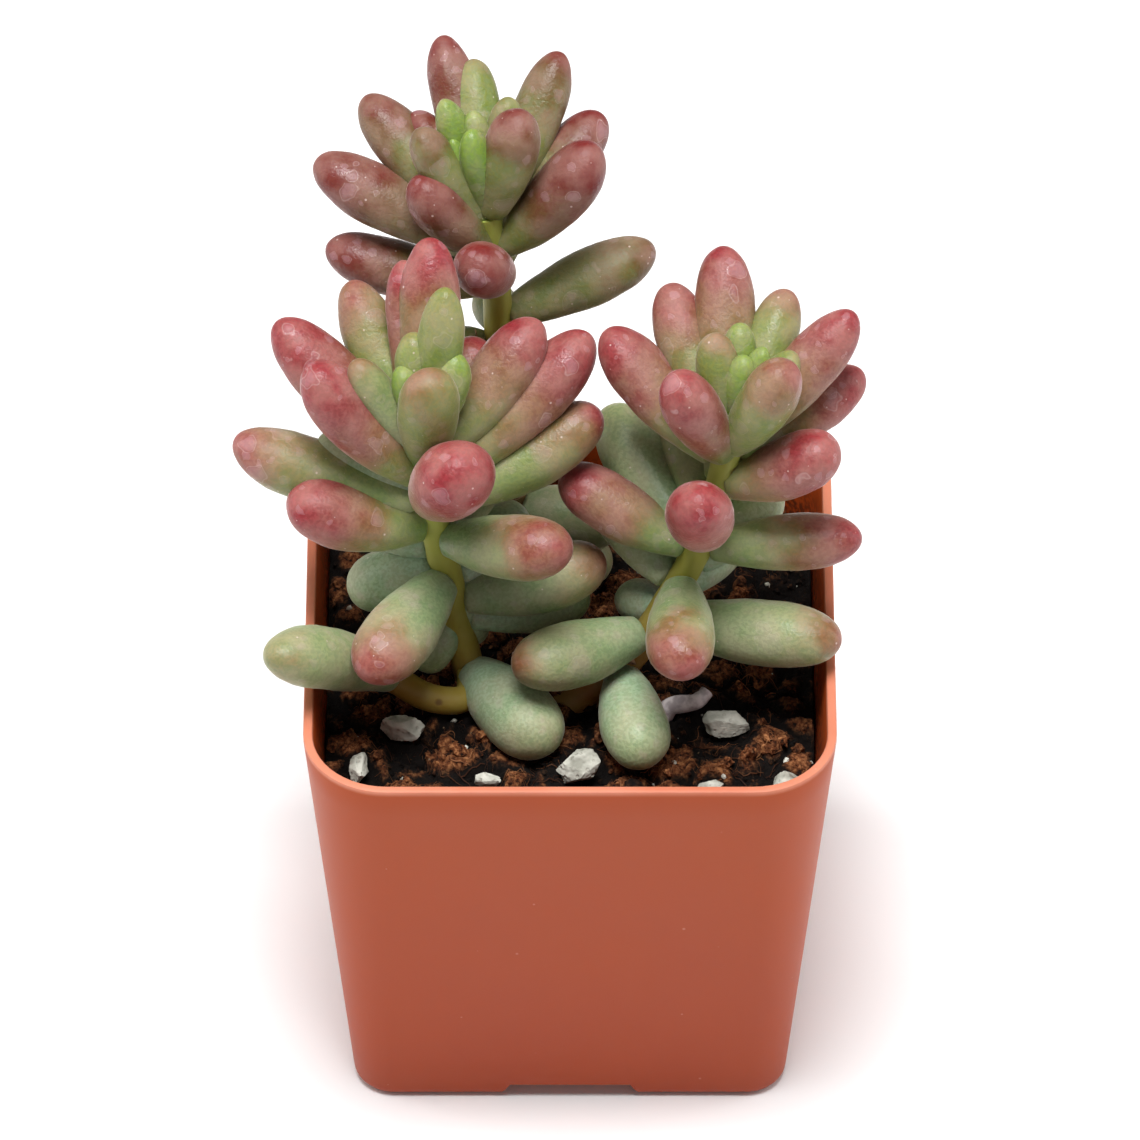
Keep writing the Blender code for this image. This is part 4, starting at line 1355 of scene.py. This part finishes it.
def root_material():
    made, tree, shader = new_material("dry_root_bark", Specular_IOR_Level=0.25)
    place = position(tree)
    streaks = cloudy(tree, place, 900.0, 5.0)
    colour = mixed(tree, rise_between(tree, streaks, 0.35, 0.65), srgb(176, 164, 166), srgb(232, 222, 222))
    normal = bump(tree, streaks, 0.00012, 0.6)
    feed_shader(tree, shader, Base_Color=colour, Roughness=streaks * 0.2 + 0.6, Normal=normal)
    return made


root = dry_root(root_material())
smooth(root, sharp_from=60)
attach(root, "root")
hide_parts("root_piece")

# %% [markdown]
# ## Dried leaves
# Where an old leaf withers, a brown papery scrap stays on the stem. Each scrap here is a small sheet that is
# bent round its stem and crumpled with noise, and a Solidify modifier gives it the thickness of paper.

# %% Dried leaves
SCRAP_CELLS = 10
SCRAP_THICKNESS = 0.12
# plant, height over the soil, direction round the stem, width and height of the sheet, and its lean outwards
DRIED_LEAVES = [
    ("back", 33.6, -150, 3.0, 3.4, 0.5), ("back", 32.0, -95, 2.4, 2.6, 0.35),
    ("back", 34.5, -40, 2.2, 2.4, 0.4), ("back", 29.5, 150, 2.6, 3.0, 0.5),
    ("back", 14.0, -60, 2.6, 3.2, 0.4), ("right", 6.5, -140, 2.4, 2.4, 0.3),
]


def add_scrap(bm, plant, height, azimuth, width, tall, lean):
    """One sheet, bent round the stem."""
    middle = point_on_stem(stem_path(plant), height + SOIL_LEVEL)
    grid = bmesh.ops.create_grid(bm, x_segments=SCRAP_CELLS, y_segments=SCRAP_CELLS, size=0.5)["verts"]
    for vert in grid:
        across, up = vert.co.x, vert.co.y + 0.5
        torn = 1 - 0.35 * up + 0.25 * noise.noise(Vector((azimuth, up * 4, height)))
        crumple = 0.3 * noise.noise(Vector((across * 3 + azimuth, up * 3, height)))
        reach = STEM_RADIUS + 0.12 + lean * up * 1.6 + crumple
        angle = math.radians(azimuth) + across * torn * width / STEM_RADIUS
        vert.co = middle + Vector((reach * math.cos(angle), reach * math.sin(angle), (up - 0.4) * tall))


def dried_leaf_material():
    made, tree, shader = new_material(
        "dried_leaf", Specular_IOR_Level=0.3, Subsurface_Weight=0.1, Subsurface_Scale=0.0005
    )
    place = position(tree)
    veins = cloudy(tree, place, 1300.0, 4.0)
    colour = mixed(tree, rise_between(tree, veins, 0.35, 0.65), srgb(88, 56, 40), srgb(186, 150, 122))
    normal = bump(tree, veins, 0.0002, 0.8)
    feed_shader(tree, shader, Base_Color=colour, Roughness=veins * 0.2 + 0.6, Normal=normal)
    return made


scraps = bmesh.new()
for row in DRIED_LEAVES:
    add_scrap(scraps, *row)
dried = mesh_in_mm("dried_leaves", scraps, dried_leaf_material())
paper = dried.modifiers.new("paper", "SOLIDIFY")
paper.thickness = SCRAP_THICKNESS * MM
paper.offset = 0
keep_result(dried)
smooth(dried, sharp_from=50)
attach(dried, "root")

# %% [markdown]
# ## Floor, light and camera
# The photograph is a product shot on white, from well above. A pale floor, a large soft light overhead and a
# soft box at each side give its flat light and the bright edges of the pot. A weak one stands in front.

# %% Floor


FLOOR_HALF_WIDTH = 3000.0


def pale_floor():
    bm = bmesh.new()
    bmesh.ops.create_grid(bm, x_segments=1, y_segments=1, size=FLOOR_HALF_WIDTH)
    floor = mesh_in_mm("floor", bm)
    for face in floor.data.polygons:
        if face.normal.z < 0:
            floor.data.flip_normals()
    made, tree, shader = new_material("pale_floor")
    cloud = mottled(tree, position(tree), 0.3, contrast=0.4)
    colour = mixed(tree, cloud, srgb(250, 250, 250), srgb(253, 253, 253))
    feed_shader(tree, shader, Base_Color=colour, Roughness=cloud * 0.1 + 0.8)
    floor.data.materials.append(made)


pale_floor()

# %% Lights


def aimed(name, data, place, aim):
    """A light or a camera at one place, turned to face another."""
    obj = add_object(name, data)
    obj.location = place
    obj.rotation_euler = (Vector(aim) - obj.location).to_track_quat("-Z", "Y").to_euler()
    return obj


MIDDLE = (0.0, 0.0, 0.06)
# where each light stands, its width and height, in metres, and its power in watts
SOFT_LIGHTS = {
    "overhead": ((-0.04, -0.1, 1.1), 0.5, 0.5, 14.5),
    "left_box": ((-0.85, 0.15, 0.4), 0.4, 0.9, 3.0),
    "right_box": ((0.85, 0.15, 0.4), 0.4, 0.9, 3.0),
    "front_fill": ((0.3, -1.3, 0.7), 0.6, 0.6, 1.0),
}
for name, (place, width, height, power) in SOFT_LIGHTS.items():
    lamp = bpy.data.lights.new(name, "AREA")
    lamp.shape = "RECTANGLE"
    lamp.size, lamp.size_y = width, height
    lamp.energy = power
    aimed(name, lamp, place, MIDDLE)

world = bpy.data.worlds.new("white_room")
world.use_nodes = True
world.node_tree.nodes["Background"].inputs["Color"].default_value = (1.0, 1.0, 1.0, 1.0)
world.node_tree.nodes["Background"].inputs["Strength"].default_value = 0.17
bpy.context.scene.world = world
bpy.context.scene.view_settings.view_transform = "Standard"

# %% Camera
CAMERA_ELEVATION = 46.0
CAMERA_DISTANCE = 1.42
CAMERA_AIM = (0.0, 0.0, 0.0605)
CAMERA_DROP = 0.001
CAMERA_LENS = 384.25
CAMERA_SENSOR = 36.0

lens = bpy.data.cameras.new("camera")
lens.lens = CAMERA_LENS
lens.sensor_width = CAMERA_SENSOR
rise = math.radians(CAMERA_ELEVATION)
eye = (0.0, -CAMERA_DISTANCE * math.cos(rise), CAMERA_DISTANCE * math.sin(rise) - CAMERA_DROP)
bpy.context.scene.camera = aimed("camera", lens, eye, CAMERA_AIM)
